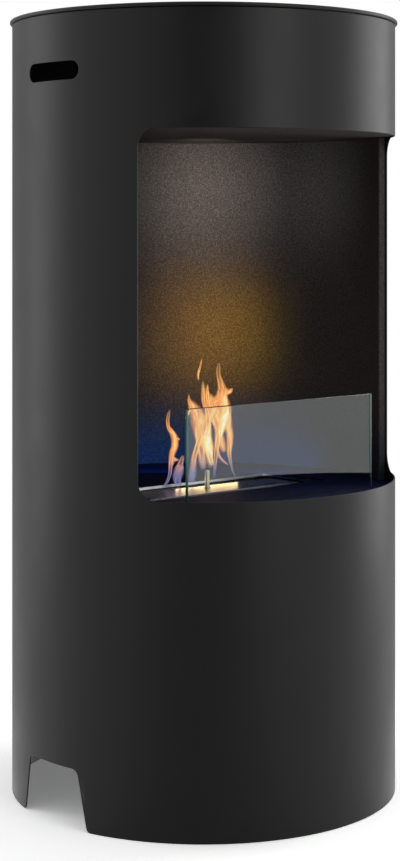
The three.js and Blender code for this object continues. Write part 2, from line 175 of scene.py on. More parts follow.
FIXING_BEARINGS = (65, 135, 225, 295)
FIXING_RADIUS = 232
BRACKET_WALL = 247.2
BRACKET_SHEET = 2
BRACKET_REACH = 25
BRACKET_WIDTH = 30
BRACKET_LEG = 28
BRACKET_BEND = 3.0
BRACKET_EDGE = 0.4
BRACKET_CORNER = 2.0
BOLT_RADIUS = 3.3
NUT_ACROSS = 10
NUT_HEIGHT = 4.5
NUT_LOOSE_TURN = 50
THREAD_DEPTH = 0.45
GAP = 0.3

PLATE_TOP = TOP_PLATE_BOTTOM + TOP_PLATE_SHEET
BURNER_LID_BOTTOM = PLATE_TOP + GAP
BURNER_LID_TOP = BURNER_LID_BOTTOM + LID_SHEET
FLOOR_BOTTOM = FLOOR_TOP - PLATE_SHEET
MOUTH_MIDDLE = (MOUTH[1] + MOUTH[3]) / 2
FLAME_HEIGHT = 165


# ---------------------------------------------------------------- colours and settings


def linear(hex_colour):
    """Turns an sRGB hex colour into linear RGB with alpha 1."""
    parts = [int(hex_colour[i : i + 2], 16) / 255 for i in (1, 3, 5)]
    return [c / 12.92 if c <= 0.04045 else ((c + 0.055) / 1.055) ** 2.4 for c in parts] + [1.0]


def colour_property(name, hex_colour, description):
    return FloatVectorProperty(
        name=name, description=description, default=linear(hex_colour), size=4, min=0, max=1, subtype="COLOR"
    )


def length_property(name, metres, description):
    return FloatProperty(name=name, description=description, default=metres, unit="LENGTH")


class FireplaceSizes(bpy.types.PropertyGroup):
    edge_radius: length_property("Cut edge radius", 0.0009, "Rounding of the sheet edges under their coat")
    seam_gap: length_property("Seam gap", 0.0004, "Width of the hairline where the shell closes at the back")
    column_pitch: length_property("Column pitch", 0.006, "Width of the facets round the rolled shell")
    turn_seed: IntProperty(name="Nut seed", description="Seed for how far round each nut is", default=7)


class FireplaceColours(bpy.types.PropertyGroup):
    shell: colour_property("Shell coat", "#151615", "Satin powder coat of the shell and lid")
    # the floor's black enamel is dark blue: a painted blue glow of the flame roots
    liner: colour_property("Liner coat", "#4b4745", "Matt heat-resistant coat of the firebox")
    floor: colour_property("Floor enamel", "#121738", "Black-blue enamel of the firebox floor")
    stainless: colour_property("Stainless steel", "#c9c9ca", "Brushed burner steel")
    # painted light: the dark blue-grey of the burner steel is a painted blue glow of the flame roots
    painted_blue_glow: colour_property("Blued steel", "#4a5470", "Burner steel that the flames have blued")
    # painted light: the pale warm cream of the lid pin is a painted light of the flames on it
    pin: colour_property("Lid pin", "#f6ead0", "Straw-tinted steel of the lid pin")
    zinc: colour_property("Zinc plate", "#9a9ea1", "Bright zinc on hidden fittings")
    wool: colour_property("Ceramic wool", "#e9e4d8", "Wick block in the tank")
    seal: colour_property("Glass seal", "#1b1b1c", "Braided strip round the foot of the pane")
    glass_edge: colour_property("Glass edge", "#8fd0c2", "Polished edge of the pane")
    flame_root: colour_property("Flame root", "#77769c", "Blue-violet foot of a flame")
    flame_body: colour_property("Flame body", "#f0955a", "Orange outer flame")
    flame_core: colour_property("Flame core", "#ffe08c", "Pale yellow inner flame")


# ---------------------------------------------------------------- materials


def add_node(tree, kind, values=None, links=None, stops=None, **settings):
    """Adds a node. values go on its sockets, links bring (node, output) pairs to them."""
    new = tree.nodes.new(kind)
    for name, value in settings.items():
        setattr(new, name, value)
    for socket, value in (values or {}).items():
        new.inputs[socket].default_value = value
    for socket, (source, output) in (links or {}).items():
        tree.links.new(source.outputs[output], new.inputs[socket])
    if stops:
        ramp = new.color_ramp
        while len(ramp.elements) < len(stops):
            ramp.elements.new(1.0)
        for element, (place, colour) in zip(ramp.elements, stops):
            element.position = place
            element.color = colour
    return new


def new_material(name):
    """An empty node material and its tree."""
    material = bpy.data.materials.new(name)
    material.use_nodes = True
    material.node_tree.nodes.clear()
    return material, material.node_tree


def ended(material, shader):
    """The material with a (node, output) pair as its surface."""
    add_node(material.node_tree, "ShaderNodeOutputMaterial", links={"Surface": shader})
    return material


def surfaced(material, values, tones=None, tint=None, gloss=None, relief=None):
    """Ends a material in one surface, whose colour, roughness and relief may follow patterns.

    tones is a pattern with its colour stops, and tint a colour made beforehand. gloss is a pattern, the
    range of it that counts and the roughness at both ends. relief is a pattern, a strength and mm."""
    tree = material.node_tree
    links = {}
    if tones:
        pattern, stops = tones
        ramp = add_node(tree, "ShaderNodeValToRGB", links={"Fac": pattern}, stops=stops)
        tint = (ramp, "Color")
    if tint:
        links["Base Color"] = tint
    if gloss:
        pattern, low, high, smooth, rough = gloss
        levels = {"From Min": low, "From Max": high, "To Min": smooth, "To Max": rough}
        level = add_node(tree, "ShaderNodeMapRange", values=levels, links={"Value": pattern})
        links["Roughness"] = (level, "Result")
    if relief:
        pattern, strength, depth = relief
        depths = {"Strength": strength, "Distance": depth * MM}
        bump = add_node(tree, "ShaderNodeBump", values=depths, links={"Height": pattern})
        links["Normal"] = (bump, "Normal")
    surface = add_node(tree, "ShaderNodeBsdfPrincipled", values=values, links=links)
    return ended(material, (surface, "BSDF"))


def shade(colour, factor):
    """A lighter or darker copy of a linear colour."""
    return [min(1.0, c * factor) for c in colour[:3]] + [1.0]


def on_piece(tree):
    """Object coordinates as a (node, output) pair."""
    return add_node(tree, "ShaderNodeTexCoord"), "Object"


def height_on_piece(tree):
    """The height above the floor as a (node, output) pair."""
    return add_node(tree, "ShaderNodeSeparateXYZ", links={"Vector": on_piece(tree)}), "Z"


def grain(tree, scale, detail=2.0, roughness=0.5, stretch=None):
    """Noise as a (node, output) pair; scale is in cells per metre, stretch scales the axes apart."""
    place = on_piece(tree)
    if stretch:
        mapping = add_node(tree, "ShaderNodeMapping", values={"Scale": stretch}, links={"Vector": place})
        place = (mapping, "Vector")
    values = {"Scale": scale, "Detail": detail, "Roughness": roughness}
    return add_node(tree, "ShaderNodeTexNoise", values=values, links={"Vector": place}), "Fac"


def tinted_low(tree, base, tint, share, reach, curve="LINEAR", blend="MIX"):
    """base mixed with tint: by share at the firebox floor, less above it, and not at all at reach, in mm."""
    low_down = add_node(
        tree,
        "ShaderNodeMapRange",
        interpolation_type=curve,
        values={"From Min": (FLOOR_TOP + reach) * MM, "From Max": FLOOR_TOP * MM, "To Max": share},
        links={"Value": height_on_piece(tree)},
    )
    mixed = add_node(
        tree,
        "ShaderNodeMix",
        data_type="RGBA",
        blend_type=blend,
        values={7: tint},
        links={0: (low_down, "Result"), 6: base},
    )
    return mixed, 2


def powder_coat(colour):
    """Satin black powder coat: even, faintly pebbled, so its gloss is soft and a little broken."""
    material, tree = new_material("satin_powder_coat")
    # a pebble about 1.2 mm across, the flow pattern of the coat
    pebble = grain(tree, 850)
    # broad clouds of about 60 mm, where the coat is a touch thicker
    cloud = grain(tree, 16, 3.0)
    return surfaced(
        material,
        {"Specular IOR Level": 0.3},
        tones=(cloud, [(0.3, shade(colour, 0.92)), (0.7, shade(colour, 1.08))]),
        gloss=(cloud, 0.3, 0.7, 0.33, 0.39),
        relief=(pebble, 0.25, 0.06),
    )


def heat_coat(colour):
    """Matt heat-resistant coat on the firebox sheet: sandy grain that speckles under a low light."""
    material, tree = new_material("sanded_heat_coat")
    # real grit is about 0.3 mm; it is drawn at 2 mm so that it shows
    grit = grain(tree, 520, 3.0, 0.8)
    stops = [(0.32, shade(colour, 0.45)), (0.5, colour), (0.7, shade(colour, 2.1))]
    speckle = add_node(tree, "ShaderNodeValToRGB", links={"Fac": grit}, stops=stops)
    # painted light: the lowest hand's breadth is made bluer and darker, a painted blue glow of the flame
    # roots and painted shade near the floor
    painted_blue_glow = tinted_low(tree, (speckle, "Color"), linear("#7a9fd8"), 0.85, 130, "SMOOTHSTEP", "MULTIPLY")
    values = {"Roughness": 0.75, "Specular IOR Level": 0.1}
    return surfaced(material, values, tint=painted_blue_glow, relief=(grit, 0.5, 0.2))


def floor_enamel(colour):
    """Black enamel on the firebox floor, dark blue with a painted blue glow of the flame roots: deep in
    colour, with a dull sheen and a faint waviness.
    """
    material, tree = new_material("black_blue_enamel")
    wave = grain(tree, 90)
    values = {"Base Color": colour, "Specular IOR Level": 0.05}
    return surfaced(material, values, gloss=(wave, 0.3, 0.7, 0.56, 0.64), relief=(wave, 0.15, 0.1))


def brushed_steel(name, colour):
    """Brushed stainless steel: fine lines along X that drag out the reflections of the flames."""
    material, tree = new_material(name)
    # brush lines are about 0.1 mm apart; they are drawn 0.4 mm apart so that they show
    lines = grain(tree, 2500, 2.0, 0.6, (0.012, 1.0, 1.0))
    # hand marks about 20 mm across
    smear = grain(tree, 45, 3.0)
    return surfaced(
        material,
        {"Metallic": 1.0},
        tones=(lines, [(0.35, shade(colour, 0.85)), (0.65, shade(colour, 1.05))]),
        gloss=(smear, 0.3, 0.7, 0.26, 0.34),
        relief=(lines, 0.3, 0.04),
    )


def turned_steel(colour):
    """Turned stainless pin, pale cream with a painted warm light of the flames: bright, with faint lathe
    rings up its height.
    """
    material, tree = new_material("straw_tinted_turned_steel")
    rings = grain(tree, 3000, 1.0, 0.5, (0.01, 0.01, 1.0))
    values = {"Base Color": colour, "Metallic": 1.0, "Roughness": 0.48}
    return surfaced(material, values, relief=(rings, 0.2, 0.03))


def zinc_plate(colour):
    """Bright zinc plate on hidden fittings: cool grey metal with a soft, cloudy spangle."""
    material, tree = new_material("bright_zinc_plate")
    # spangle grains about 5 mm across
    cells = add_node(tree, "ShaderNodeTexVoronoi", values={"Scale": 200.0}, links={"Vector": on_piece(tree)})
    spangle = (cells, "Distance")
    return surfaced(
        material,
        {"Metallic": 1.0},
        tones=(spangle, [(0.1, shade(colour, 1.08)), (0.8, shade(colour, 0.86))]),
        gloss=(spangle, 0.1, 0.8, 0.3, 0.44),
    )


def ceramic_wool(colour):
    """Pressed ceramic fibre: chalky, matt and matted, with soft lumps and stray fibres."""
    material, tree = new_material("pressed_ceramic_wool")
    # lumps about 6 mm across, fibres under 1 mm apart
    lumps = grain(tree, 160, 4.0, 0.65)
    fibres = grain(tree, 1400, 3.0, 0.7, (0.15, 1.0, 1.0))
    height = add_node(
        tree, "ShaderNodeMath", operation="MULTIPLY_ADD", values={1: 0.3}, links={0: fibres, 2: lumps}
    )
    return surfaced(
        material,
        {"Roughness": 0.95, "Sheen Weight": 0.3},
        tones=(lumps, [(0.3, shade(colour, 0.72)), (0.65, colour)]),
        relief=((height, "Value"), 0.8, 0.8),
    )


def braided_seal(colour):
    """Flat braided glass-fibre strip: matt charcoal with a diagonal plait about 2 mm wide."""
    material, tree = new_material("braided_fibre_seal")
    bands = add_node(
        tree,
        "ShaderNodeTexWave",
        wave_type="BANDS",
        bands_direction="DIAGONAL",
        values={"Scale": 80.0, "Distortion": 1.5},
        links={"Vector": on_piece(tree)},
    )
    plait = (bands, "Fac")
    tones = (plait, [(0.2, shade(colour, 0.6)), (0.8, shade(colour, 1.6))])
    return surfaced(material, {"Roughness": 0.9}, tones=tones, relief=(plait, 0.6, 0.3))


def clear_glass():
    """Toughened float glass: clear, flat and hard-edged in its reflections; lamps reach through it."""
    material, tree = new_material("toughened_float_glass")
    values = {"Base Color": linear("#f4fbf9"), "Roughness": 0.0, "IOR": 1.52, "Transmission Weight": 1.0}
    glass = add_node(tree, "ShaderNodeBsdfPrincipled", values=values)
    passing = add_node(tree, "ShaderNodeBsdfTransparent", values={"Color": linear("#eef7f4")})
    rays = add_node(tree, "ShaderNodeLightPath")
    links = {0: (rays, "Is Shadow Ray"), 1: (glass, "BSDF"), 2: (passing, "BSDF")}
    return ended(material, (add_node(tree, "ShaderNodeMixShader", links=links), "Shader"))


def glass_edge(colour):
    """Polished edge of the pane: the length of glass behind it colours it sea green."""
    material, tree = new_material("polished_glass_edge")
    streak = grain(tree, 260, 2.0, 0.5, (1.0, 1.0, 0.08))
    stops = [(0.3, shade(colour, 0.55)), (0.7, colour)]
    tint = add_node(tree, "ShaderNodeValToRGB", links={"Fac": streak}, stops=stops)
    # painted reflection: the foot of the edge is darkened to a deep blue, a painted view of the dark floor
    # behind it
    painted_floor_behind = tinted_low(tree, (tint, "Color"), linear("#0c1830"), 0.9, 70)
    return surfaced(material, {"Roughness": 0.08, "IOR": 1.52, "Transmission Weight": 0.15}, tint=painted_floor_behind)


def flame(name, root, body, core):
    """A burning sheet of ethanol vapour: it glows from a violet root to orange, pale at its heart,
    and thins to nothing at its sides and tip. The UV map runs across the tongue and up it."""
    material, tree = new_material(name)
    place = add_node(tree, "ShaderNodeUVMap", uv_map="flame")
    apart = add_node(tree, "ShaderNodeSeparateXYZ", links={"Vector": (place, "UV")})
    values = {"Scale": 5.0, "Detail": 3.0, "Distortion": 0.8}
    swirl = add_node(tree, "ShaderNodeTexNoise", values=values, links={"Vector": (place, "UV")})
    # 0 at the sides of the tongue and 1/2 along its middle
    side = add_node(tree, "ShaderNodeMath", operation="PINGPONG", values={1: 0.5}, links={0: (apart, "X")})
    # 0 at the burner plate and 1 at the highest tips
    levels = {"From Min": PLATE_TOP * MM, "From Max": (PLATE_TOP + FLAME_HEIGHT) * MM}
    height = add_node(tree, "ShaderNodeMapRange", values=levels, links={"Value": height_on_piece(tree)})
    links = {0: (side, "Value"), 1: (swirl, "Fac")}
    depth = add_node(tree, "ShaderNodeMath", operation="MULTIPLY", links=links)
    part = {}
    for result, source, low, high, least in (
        ("heart", (depth, "Value"), 0.12, 0.3, 0.0),
        ("rise", (height, "Result"), 0.12, 0.35, 0.0),
        ("fade", (depth, "Value"), 0.02, 0.2, 0.0),
        ("tip", (apart, "Y"), 1.0, 0.75, 0.0),
        ("foot", (apart, "Y"), 0.0, 0.12, 0.1),
    ):
        values = {"From Min": low, "From Max": high, "To Min": least}
        span = add_node(tree, "ShaderNodeMapRange", values=values, links={"Value": source})
        part[result] = (span, "Result")
    products = (("pale", "heart", "rise"), ("ends", "tip", "foot"), ("cover", "fade", "ends"))
    for result, first, second in products:
        links = {0: part[first], 1: part[second]}
        part[result] = (add_node(tree, "ShaderNodeMath", operation="MULTIPLY", links=links), "Value")
    stops = [(0.0, root), (0.1, root), (0.28, body), (0.7, body), (1.0, shade(body, 0.75))]
    tint = add_node(tree, "ShaderNodeValToRGB", links={"Fac": (height, "Result")}, stops=stops)
    links = {0: part["pale"], 6: (tint, "Color")}
    hot = add_node(tree, "ShaderNodeMix", data_type="RGBA", values={7: core}, links=links)
    glow = add_node(tree, "ShaderNodeEmission", values={"Strength": 1.0}, links={"Color": (hot, 2)})
    clear = add_node(tree, "ShaderNodeBsdfTransparent")
    links = {0: part["cover"], 1: (clear, "BSDF"), 2: (glow, "Emission")}
    return ended(material, (add_node(tree, "ShaderNodeMixShader", links=links), "Shader"))


HEART_CORE = (1.0, 0.95, 0.8, 1.0)
MATERIAL_MAKERS = {
    "shell_coat": lambda c: powder_coat(c.shell),
    "liner_coat": lambda c: heat_coat(c.liner),
    "floor_coat": lambda c: floor_enamel(c.floor),
    "stainless": lambda c: brushed_steel("brushed_stainless_steel", c.stainless),
    # the burner plate's and rails' steel, dark blue-grey with a painted blue glow of the flame roots
    "painted_blue_glow": lambda c: brushed_steel("heat_blued_stainless_steel", c.painted_blue_glow),
    "pin_steel": lambda c: turned_steel(c.pin),
    "zinc_steel": lambda c: zinc_plate(c.zinc),
    "wool": lambda c: ceramic_wool(c.wool),
    "seal": lambda c: braided_seal(c.seal),
    "glass": lambda c: clear_glass(),
    "glass_edge": lambda c: glass_edge(c.glass_edge),
    "flame": lambda c: flame("ethanol_flame", c.flame_root, c.flame_body, c.flame_core),
    "flame_heart": lambda c: flame("ethanol_flame_heart", c.flame_body, c.flame_core, HEART_CORE),
}
MATERIAL_MAKERS["frame_coat"] = MATERIAL_MAKERS["shell_coat"]
made = {}


def material_for(context, slot):
    """The material of a slot, made once."""
    maker = MATERIAL_MAKERS[slot]
    if maker not in made:
        made[maker] = maker(context.scene.fireplace_colours)
    return made[maker]


# ---------------------------------------------------------------- meshes


def new_piece(name, points, faces, materials, normals=None):
    """A smooth mesh object from points in mm, at the origin."""
    mesh = bpy.data.meshes.new(name)
    mesh.from_pydata([Vector(p) * MM for p in points], [], faces)
    for material in materials:
        mesh.materials.append(material)
    mesh.polygons.foreach_set("use_smooth", [True] * len(mesh.polygons))
    if normals:
        mesh.normals_split_custom_set_from_vertices([n.normalized() for n in normals])
    mesh.update()
    piece = bpy.data.objects.new(name, mesh)
    bpy.context.scene.collection.objects.link(piece)
    return piece


def baked(piece):
    """Replaces a piece's mesh by its evaluated one and removes the modifiers."""
    bpy.context.view_layer.update()
    graph = bpy.context.evaluated_depsgraph_get()
    mesh = bpy.data.meshes.new_from_object(piece.evaluated_get(graph), depsgraph=graph)
    piece.modifiers.clear()
    mesh.name = piece.name
    piece.data = mesh
    return piece


def evened(piece):
    """Shades flat and curved faces true."""
    even = piece.modifiers.new("even", "WEIGHTED_NORMAL")
    even.mode = "FACE_AREA"
    even.weight = 90
    return baked(piece)


def ring_loft(name, rings, materials, closed=False):
    """Bridges loops of equal length. Open lofts are capped at both ends."""
    count = len(rings[0])
    points = [p for ring in rings for p in ring]
    faces = []
    for low in range(len(rings) if closed else len(rings) - 1):
        high = (low + 1) % len(rings)
        for i in range(count):
            j = (i + 1) % count
            faces.append((low * count + i, low * count + j, high * count + j, high * count + i))
    if not closed:
        faces.append(tuple(reversed(range(count))))
        faces.append(tuple(range(len(points) - count, len(points))))
    return new_piece(name, points, faces, materials)


def circle(radius, height, count, centre=(0, 0)):
    """A loop round Z, anticlockwise from above."""
    loop = []
    for i in range(count):
        angle = 2 * math.pi * i / count
        loop.append((centre[0] + radius * math.cos(angle), centre[1] + radius * math.sin(angle), height))
    return loop


def quarter(centre_u, centre_v, radius, start, steps=4):
    """Points of a 90 degree arc, anticlockwise from start, in degrees."""
    arc = []
    for i in range(steps + 1):
        angle = math.radians(start + 90 * i / steps)
        arc.append((centre_u + radius * math.cos(angle), centre_v + radius * math.sin(angle)))
    return arc


def rounded_rectangle(low_u, low_v, high_u, high_v, radius, steps=4):
    """Anticlockwise outline of a rectangle with round corners."""
    outline = quarter(high_u - radius, low_v + radius, radius, -90, steps)
    outline += quarter(high_u - radius, high_v - radius, radius, 0, steps)
    outline += quarter(low_u + radius, high_v - radius, radius, 90, steps)
    return outline + quarter(low_u + radius, low_v + radius, radius, 180, steps)


def inset_rectangle(box, inset, radius, steps=4):
    """The outline of a (left, front, right, back) box drawn in by inset."""
    left, front, right, back = box
    return rounded_rectangle(left + inset, front + inset, right - inset, back - inset, radius, steps)


def round_corners(corners, radii, steps):
    """Rounds each corner of a closed outline by its own radius."""
    outline = []
    count = len(corners)
    for i, (corner, radius) in enumerate(zip(corners, radii)):
        corner = Vector(corner)
        before = (Vector(corners[i - 1]) - corner).normalized()
        after = (Vector(corners[(i + 1) % count]) - corner).normalized()
        half = before.angle(after) / 2
        reach = radius / math.tan(half)
        centre = corner + (before + after).normalized() * (radius / math.sin(half))
        from_start = corner + before * reach - centre
        turn = from_start.angle_signed(corner + after * reach - centre)
        for step in range(steps + 1):
            outline.append(tuple(centre + Matrix.Rotation(-turn * step / steps, 2) @ from_start))
    return outline


def loop_normals(loop):
    """Mitred normals pointing away from the sheet; an outer loop runs anticlockwise, a hole clockwise."""
    normals = []
    count = len(loop)
    for i in range(count):
        before = (Vector(loop[i]) - Vector(loop[i - 1])).normalized()
        after = (Vector(loop[(i + 1) % count]) - Vector(loop[i])).normalized()
        side = Vector((after.y, -after.x))
        unit = (Vector((before.y, -before.x)) + side).normalized()
        normals.append((unit, 1 / max(0.5, unit.dot(side))))
    return normals


def shifted(loop, distance):
    """The loop moved by distance along its normals, away from the sheet."""
    moves = [unit * stretch * distance for unit, stretch in loop_normals(loop)]
    return [tuple(Vector(point) + move) for point, move in zip(loop, moves)]


def cross_at(loop, column):
    """The loop with a point added wherever it crosses u = column, and the heights of those points."""
    result = []
    heights = []
    for i, point in enumerate(loop):
        result.append(point)
        if abs(point[0] - column) < 1e-6:
            heights.append(point[1])
            continue
        after = loop[(i + 1) % len(loop)]
        if (point[0] - column) * (after[0] - column) < 0 and abs(after[0] - column) > 1e-6:
            share = (column - point[0]) / (after[0] - point[0])
            v = point[1] + share * (after[1] - point[1])
            result.append((column, v))
            heights.append(v)
    return result, heights


def inside(point, loop):
    """True if the point lies in the closed loop."""
    hit = False
    for (u0, v0), (u1, v1) in zip(loop, loop[1:] + loop[:1]):
        if (v0 > point[1]) != (v1 > point[1]) and point[0] < (u1 - u0) * (point[1] - v0) / (v1 - v0) + u0:
            hit = not hit
    return hit


def in_hole(point, loops):
    """True if the point lies in a loop other than the first, the sheet's outline."""
    return any(inside(point, loop) for loop in loops[1:])


def bend_lines(loops, columns, row):
    """Adds each column's crossings to the loops, and gives the rows of points between them."""
    crossings = []
    for column in columns:
        heights = []
        for i, loop in enumerate(loops):
            loops[i], found = cross_at(loop, column)
            heights += found
        crossings.append((column, sorted(set(round(h, 6) for h in heights))))
    lines = []
    for column, heights in crossings:
        for low, high in zip(heights, heights[1:]):
            middle = (column, (low + high) / 2)
            if inside(middle, loops[0]) and not in_hole(middle, loops):
                pieces = max(1, round((high - low) / row))
                lines.append([(column, low + (high - low) * i / pieces) for i in range(pieces + 1)])
    return lines


def triangulated(loops, lines):
    """Points and triangles of a flat sheet, and the indices of the points on each loop."""
    flat = []
    edges = []
    for loop in loops:
        start = len(flat)
        flat += loop
        edges += [(start + i, start + (i + 1) % len(loop)) for i in range(len(loop))]
    for line in lines:
        edges += [(len(flat) + i, len(flat) + i + 1) for i in range(len(line) - 1)]
        flat += line
    found, _, triangles, origins, _, _ = delaunay_2d_cdt([Vector(p) for p in flat], edges, [], 1, 1e-4)
    kept = []
    for triangle in triangles:
        middle = sum((found[i] for i in triangle), Vector((0, 0))) / 3
        if not in_hole(middle, loops):
            kept.append(tuple(triangle))
    index_of = {source: index for index, sources in enumerate(origins) for source in sources}
    rims = []
    start = 0
    for loop in loops:
        rims.append([index_of[start + i] for i in range(len(loop))])
        start += len(loop)
    return found, kept, rims


def cut_sheet(name, outline, holes, thickness, edge, place, materials, columns=(), row=40.0):
    """A sheet cut to an outline with holes, its cut edges rounded by edge.

    place(u, v) gives the point on the outer face, the outward normal and the directions of u and v.
    columns are the values of u at which a bent sheet has a line of points."""
    edge = min(edge, 0.45 * thickness)
    loops = [shifted(loop, -edge) for loop in [outline] + [list(reversed(hole)) for hole in holes]]
    lines = bend_lines(loops, columns, row)
    found, triangles, loop_indices = triangulated(loops, lines)

    points = []
    normals = []
    for depth, facing in ((0, 1), (thickness, -1)):
        for u, v in found:
            spot, out, _, _ = place(u, v)
            points.append(spot - out * depth)
            normals.append(out * facing)
    shift = len(found)
    faces = []
    for triangle in triangles:
        faces.append(triangle)
        faces.append(tuple(i + shift for i in reversed(triangle)))

    # the round-off from the outer face to the inner one: sine and cosine of its turn, and depth
    section = []
    for order, turn in enumerate((30, 60, 90, 90, 120, 150)):
        angle = math.radians(turn)
        centre = edge if order < 3 else thickness - edge
        section.append((math.sin(angle), math.cos(angle), centre - edge * math.cos(angle)))
    for loop, indices in zip(loops, loop_indices):
        rims = []
        for (u, v), (unit, stretch), index in zip(loop, loop_normals(loop), indices):
            spot, out, along_u, along_v = place(u, v)
            side = along_u * unit.x + along_v * unit.y
            rims.append([index, *range(len(points), len(points) + len(section)), index + shift])
            for sine, cosine, depth in section:
                points.append(spot + side * (edge * sine * stretch) - out * depth)
                normals.append(side * sine + out * cosine)
        for rim, after in zip(rims, rims[1:] + rims[:1]):
            for k in range(len(rim) - 1):
                faces.append((rim[k], rim[k + 1], after[k + 1], after[k]))
    return new_piece(name, points, faces, materials, normals)


def flat_place(height, flip=1):
    """Placer for a flat sheet whose outer face lies at a height and looks up, or down for a flip of -1."""

    def place(u, v):
        return Vector((u, flip * v, height)), UP * flip, Vector((1, 0, 0)), Vector((0, flip, 0))

    return place


def standing(point):
    """A point of a plan, in space."""
    return Vector((point.x, point.y, 0))


def path_place(path, across=UP, spot_of=standing):
    """Placer for a sheet bent along a path of (length, point, normal, direction), across wide."""
    lengths = [length for length, _, _, _ in path]

    def place(u, v):
        i = min(max(bisect_right(lengths, u) - 1, 0), len(path) - 2)
        share = (u - lengths[i]) / (lengths[i + 1] - lengths[i])
        share = min(max(share, 0.0), 1.0)
        spot, normal, way = (path[i][k].lerp(path[i + 1][k], share) for k in (1, 2, 3))
        beyond = u - lengths[i] - share * (lengths[i + 1] - lengths[i])
        spot = spot_of(spot + way.normalized() * beyond) + across * v
        return spot, spot_of(normal).normalized(), spot_of(way).normalized(), across

    return place


def bent_path(corners, radii, arc_step=15.0):
    """Walks corner to corner with round bends; the outer face's normal is on the right of the walk.

    Returns (length, point, normal, direction) at each point of the walk."""
    corners = [Vector(corner) for corner in corners]
    spots = [(corners[0], (corners[1] - corners[0]).normalized())]
    for last, corner, following, radius in zip(corners, corners[1:], corners[2:], radii[1:]):
        before = (corner - last).normalized()
        after = (following - corner).normalized()
        turn = before.angle_signed(after)
        start = corner - before * (radius * math.tan(abs(turn) / 2))
        side = Vector((before.y, -before.x)) * (1 if turn > 0 else -1)
        centre = start + side * radius
        steps = max(2, round(math.degrees(abs(turn)) / arc_step))
        for step in range(steps + 1):
            spin = Matrix.Rotation(-turn * step / steps, 2)
            spots.append((centre + spin @ (start - centre), spin @ before))
    spots.append((corners[-1], (corners[-1] - corners[-2]).normalized()))
    path = []
    length = 0.0
    for i, (spot, way) in enumerate(spots):
        if i:
            length += (spot - spots[i - 1][0]).length
        path.append((length, spot, Vector((way.y, -way.x)), way))
    return path


def bent_strip(name, path, span, corner, thickness, edge, place, materials, steps=4, holes=(), row=40.0):
    """A sheet as long as its path and as wide as span, bent along the path."""
    outline = rounded_rectangle(0, span[0], path[-1][0], span[1], corner, steps)
    columns = [length for length, _, _, _ in path[1:-1]]
    return cut_sheet(name, outline, holes, thickness, edge, place, materials, columns, row)


def settle(piece, body, slot, *nodes):
    """Hangs a finished piece on the body it rides on and hides the nodes it stands for; slot, the finish it
    takes, is not used.
    """
    if nodes:
        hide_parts(*nodes)
    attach(piece, body)


# ---------------------------------------------------------------- the shell's outlines


def at_bearing(angle):
    """The level unit vector at a bearing in radians."""
    return Vector((math.sin(angle), -math.cos(angle), 0))


def along_shell(bearing):
    """The arc length from the front to a bearing in degrees."""
    return math.radians(bearing) * BODY_RADIUS


def window_outline():
    half = along_shell(WINDOW_HALF_ANGLE)
    return rounded_rectangle(-half, WINDOW_BOTTOM, half, WINDOW_TOP, WINDOW_CORNER, 10)


def grip_outline(bearing):
    middle = along_shell(bearing)
    low, high = GRIP_CENTRE - GRIP_HEIGHT / 2, GRIP_CENTRE + GRIP_HEIGHT / 2
    radius = GRIP_HEIGHT / 2 - 0.05
    return rounded_rectangle(middle - GRIP_LENGTH / 2, low, middle + GRIP_LENGTH / 2, high, radius, 8)


def shell_outline(seam_gap):
    """Anticlockwise from the seam's lower left: along the floor with both notches, up and back."""
    half = math.pi * BODY_RADIUS - seam_gap / 2
    corners = [(-half, 0)]
    radii = [SEAM_CORNER]
    for bearing in (-90, 90):
        for offset, height, radius in (
            (-NOTCH_BOTTOM_WIDTH / 2, 0, FOOT_CORNER),
            (-NOTCH_TOP_WIDTH / 2, NOTCH_HEIGHT, NOTCH_CORNER),
            (NOTCH_TOP_WIDTH / 2, NOTCH_HEIGHT, NOTCH_CORNER),
            (NOTCH_BOTTOM_WIDTH / 2, 0, FOOT_CORNER),
        ):
            corners.append((along_shell(bearing) + offset, height))
            radii.append(radius)
    corners += [(half, 0), (half, SHELL_TOP), (-half, SHELL_TOP)]
    return round_corners(corners, radii + [SEAM_CORNER] * 3, 6)


def round_place(u, v):
    """Placer for the sheet rolled round Z; u is the arc length from the front."""
    out = at_bearing(u / BODY_RADIUS)
    return out * BODY_RADIUS + UP * v, out, Vector((-out.y, out.x, 0)), UP


# ---------------------------------------------------------------- operators


class FIREPLACE_OT_shell(bpy.types.Operator):
    """Rolled outer shell with its window, grip slots, foot notches and back seam"""

    bl_idname = "fireplace.shell"
    bl_label = "Outer shell"

    def execute(self, context):
        sizes = context.scene.fireplace_sizes
        half = math.pi * BODY_RADIUS
        count = round(half / (sizes.column_pitch / MM))
        columns = [half * i / count for i in range(1 - count, count)]
        holes = [window_outline(), grip_outline(-90), grip_outline(90)]
        outline = shell_outline(sizes.seam_gap / MM)
        coat = [material_for(context, "shell_coat")]
        edge = sizes.edge_radius / MM
        shell = cut_sheet("outer_shell_sheet", outline, holes, SHELL_SHEET, edge, round_place, coat, columns)
        settle(shell, "stove", "shell_coat", "outer_shell")
        return {"FINISHED"}


class FIREPLACE_OT_lid(bpy.types.Operator):
    """Round lid with a rolled edge standing proud of the shell"""

    bl_idname = "fireplace.lid"
    bl_label = "Top lid"

    def execute(self, context):
        middle = (LID_BOTTOM + LID_TOP) / 2
        radius = (LID_TOP - LID_BOTTOM) / 2
        rim = LID_RADIUS - radius
        # a small inner ring and one near the rim keep the shading of the flat faces even
        inner = 80
        outer = rim - 4
        section = [(inner, LID_BOTTOM), (outer, LID_BOTTOM)]
        steps = 12
        for step in range(steps + 1):
            angle = math.radians(-90 + 180 * step / steps)
            section.append((rim + radius * math.cos(angle), middle + radius * math.sin(angle)))
        section += [(outer, LID_TOP), (inner, LID_TOP)]
        rings = [circle(r, z, 240) for r, z in section]
        lid = evened(ring_loft("top_lid_plate", rings, [material_for(context, "shell_coat")]))
        settle(lid, "stove", "shell_coat", "top_lid")
        return {"FINISHED"}


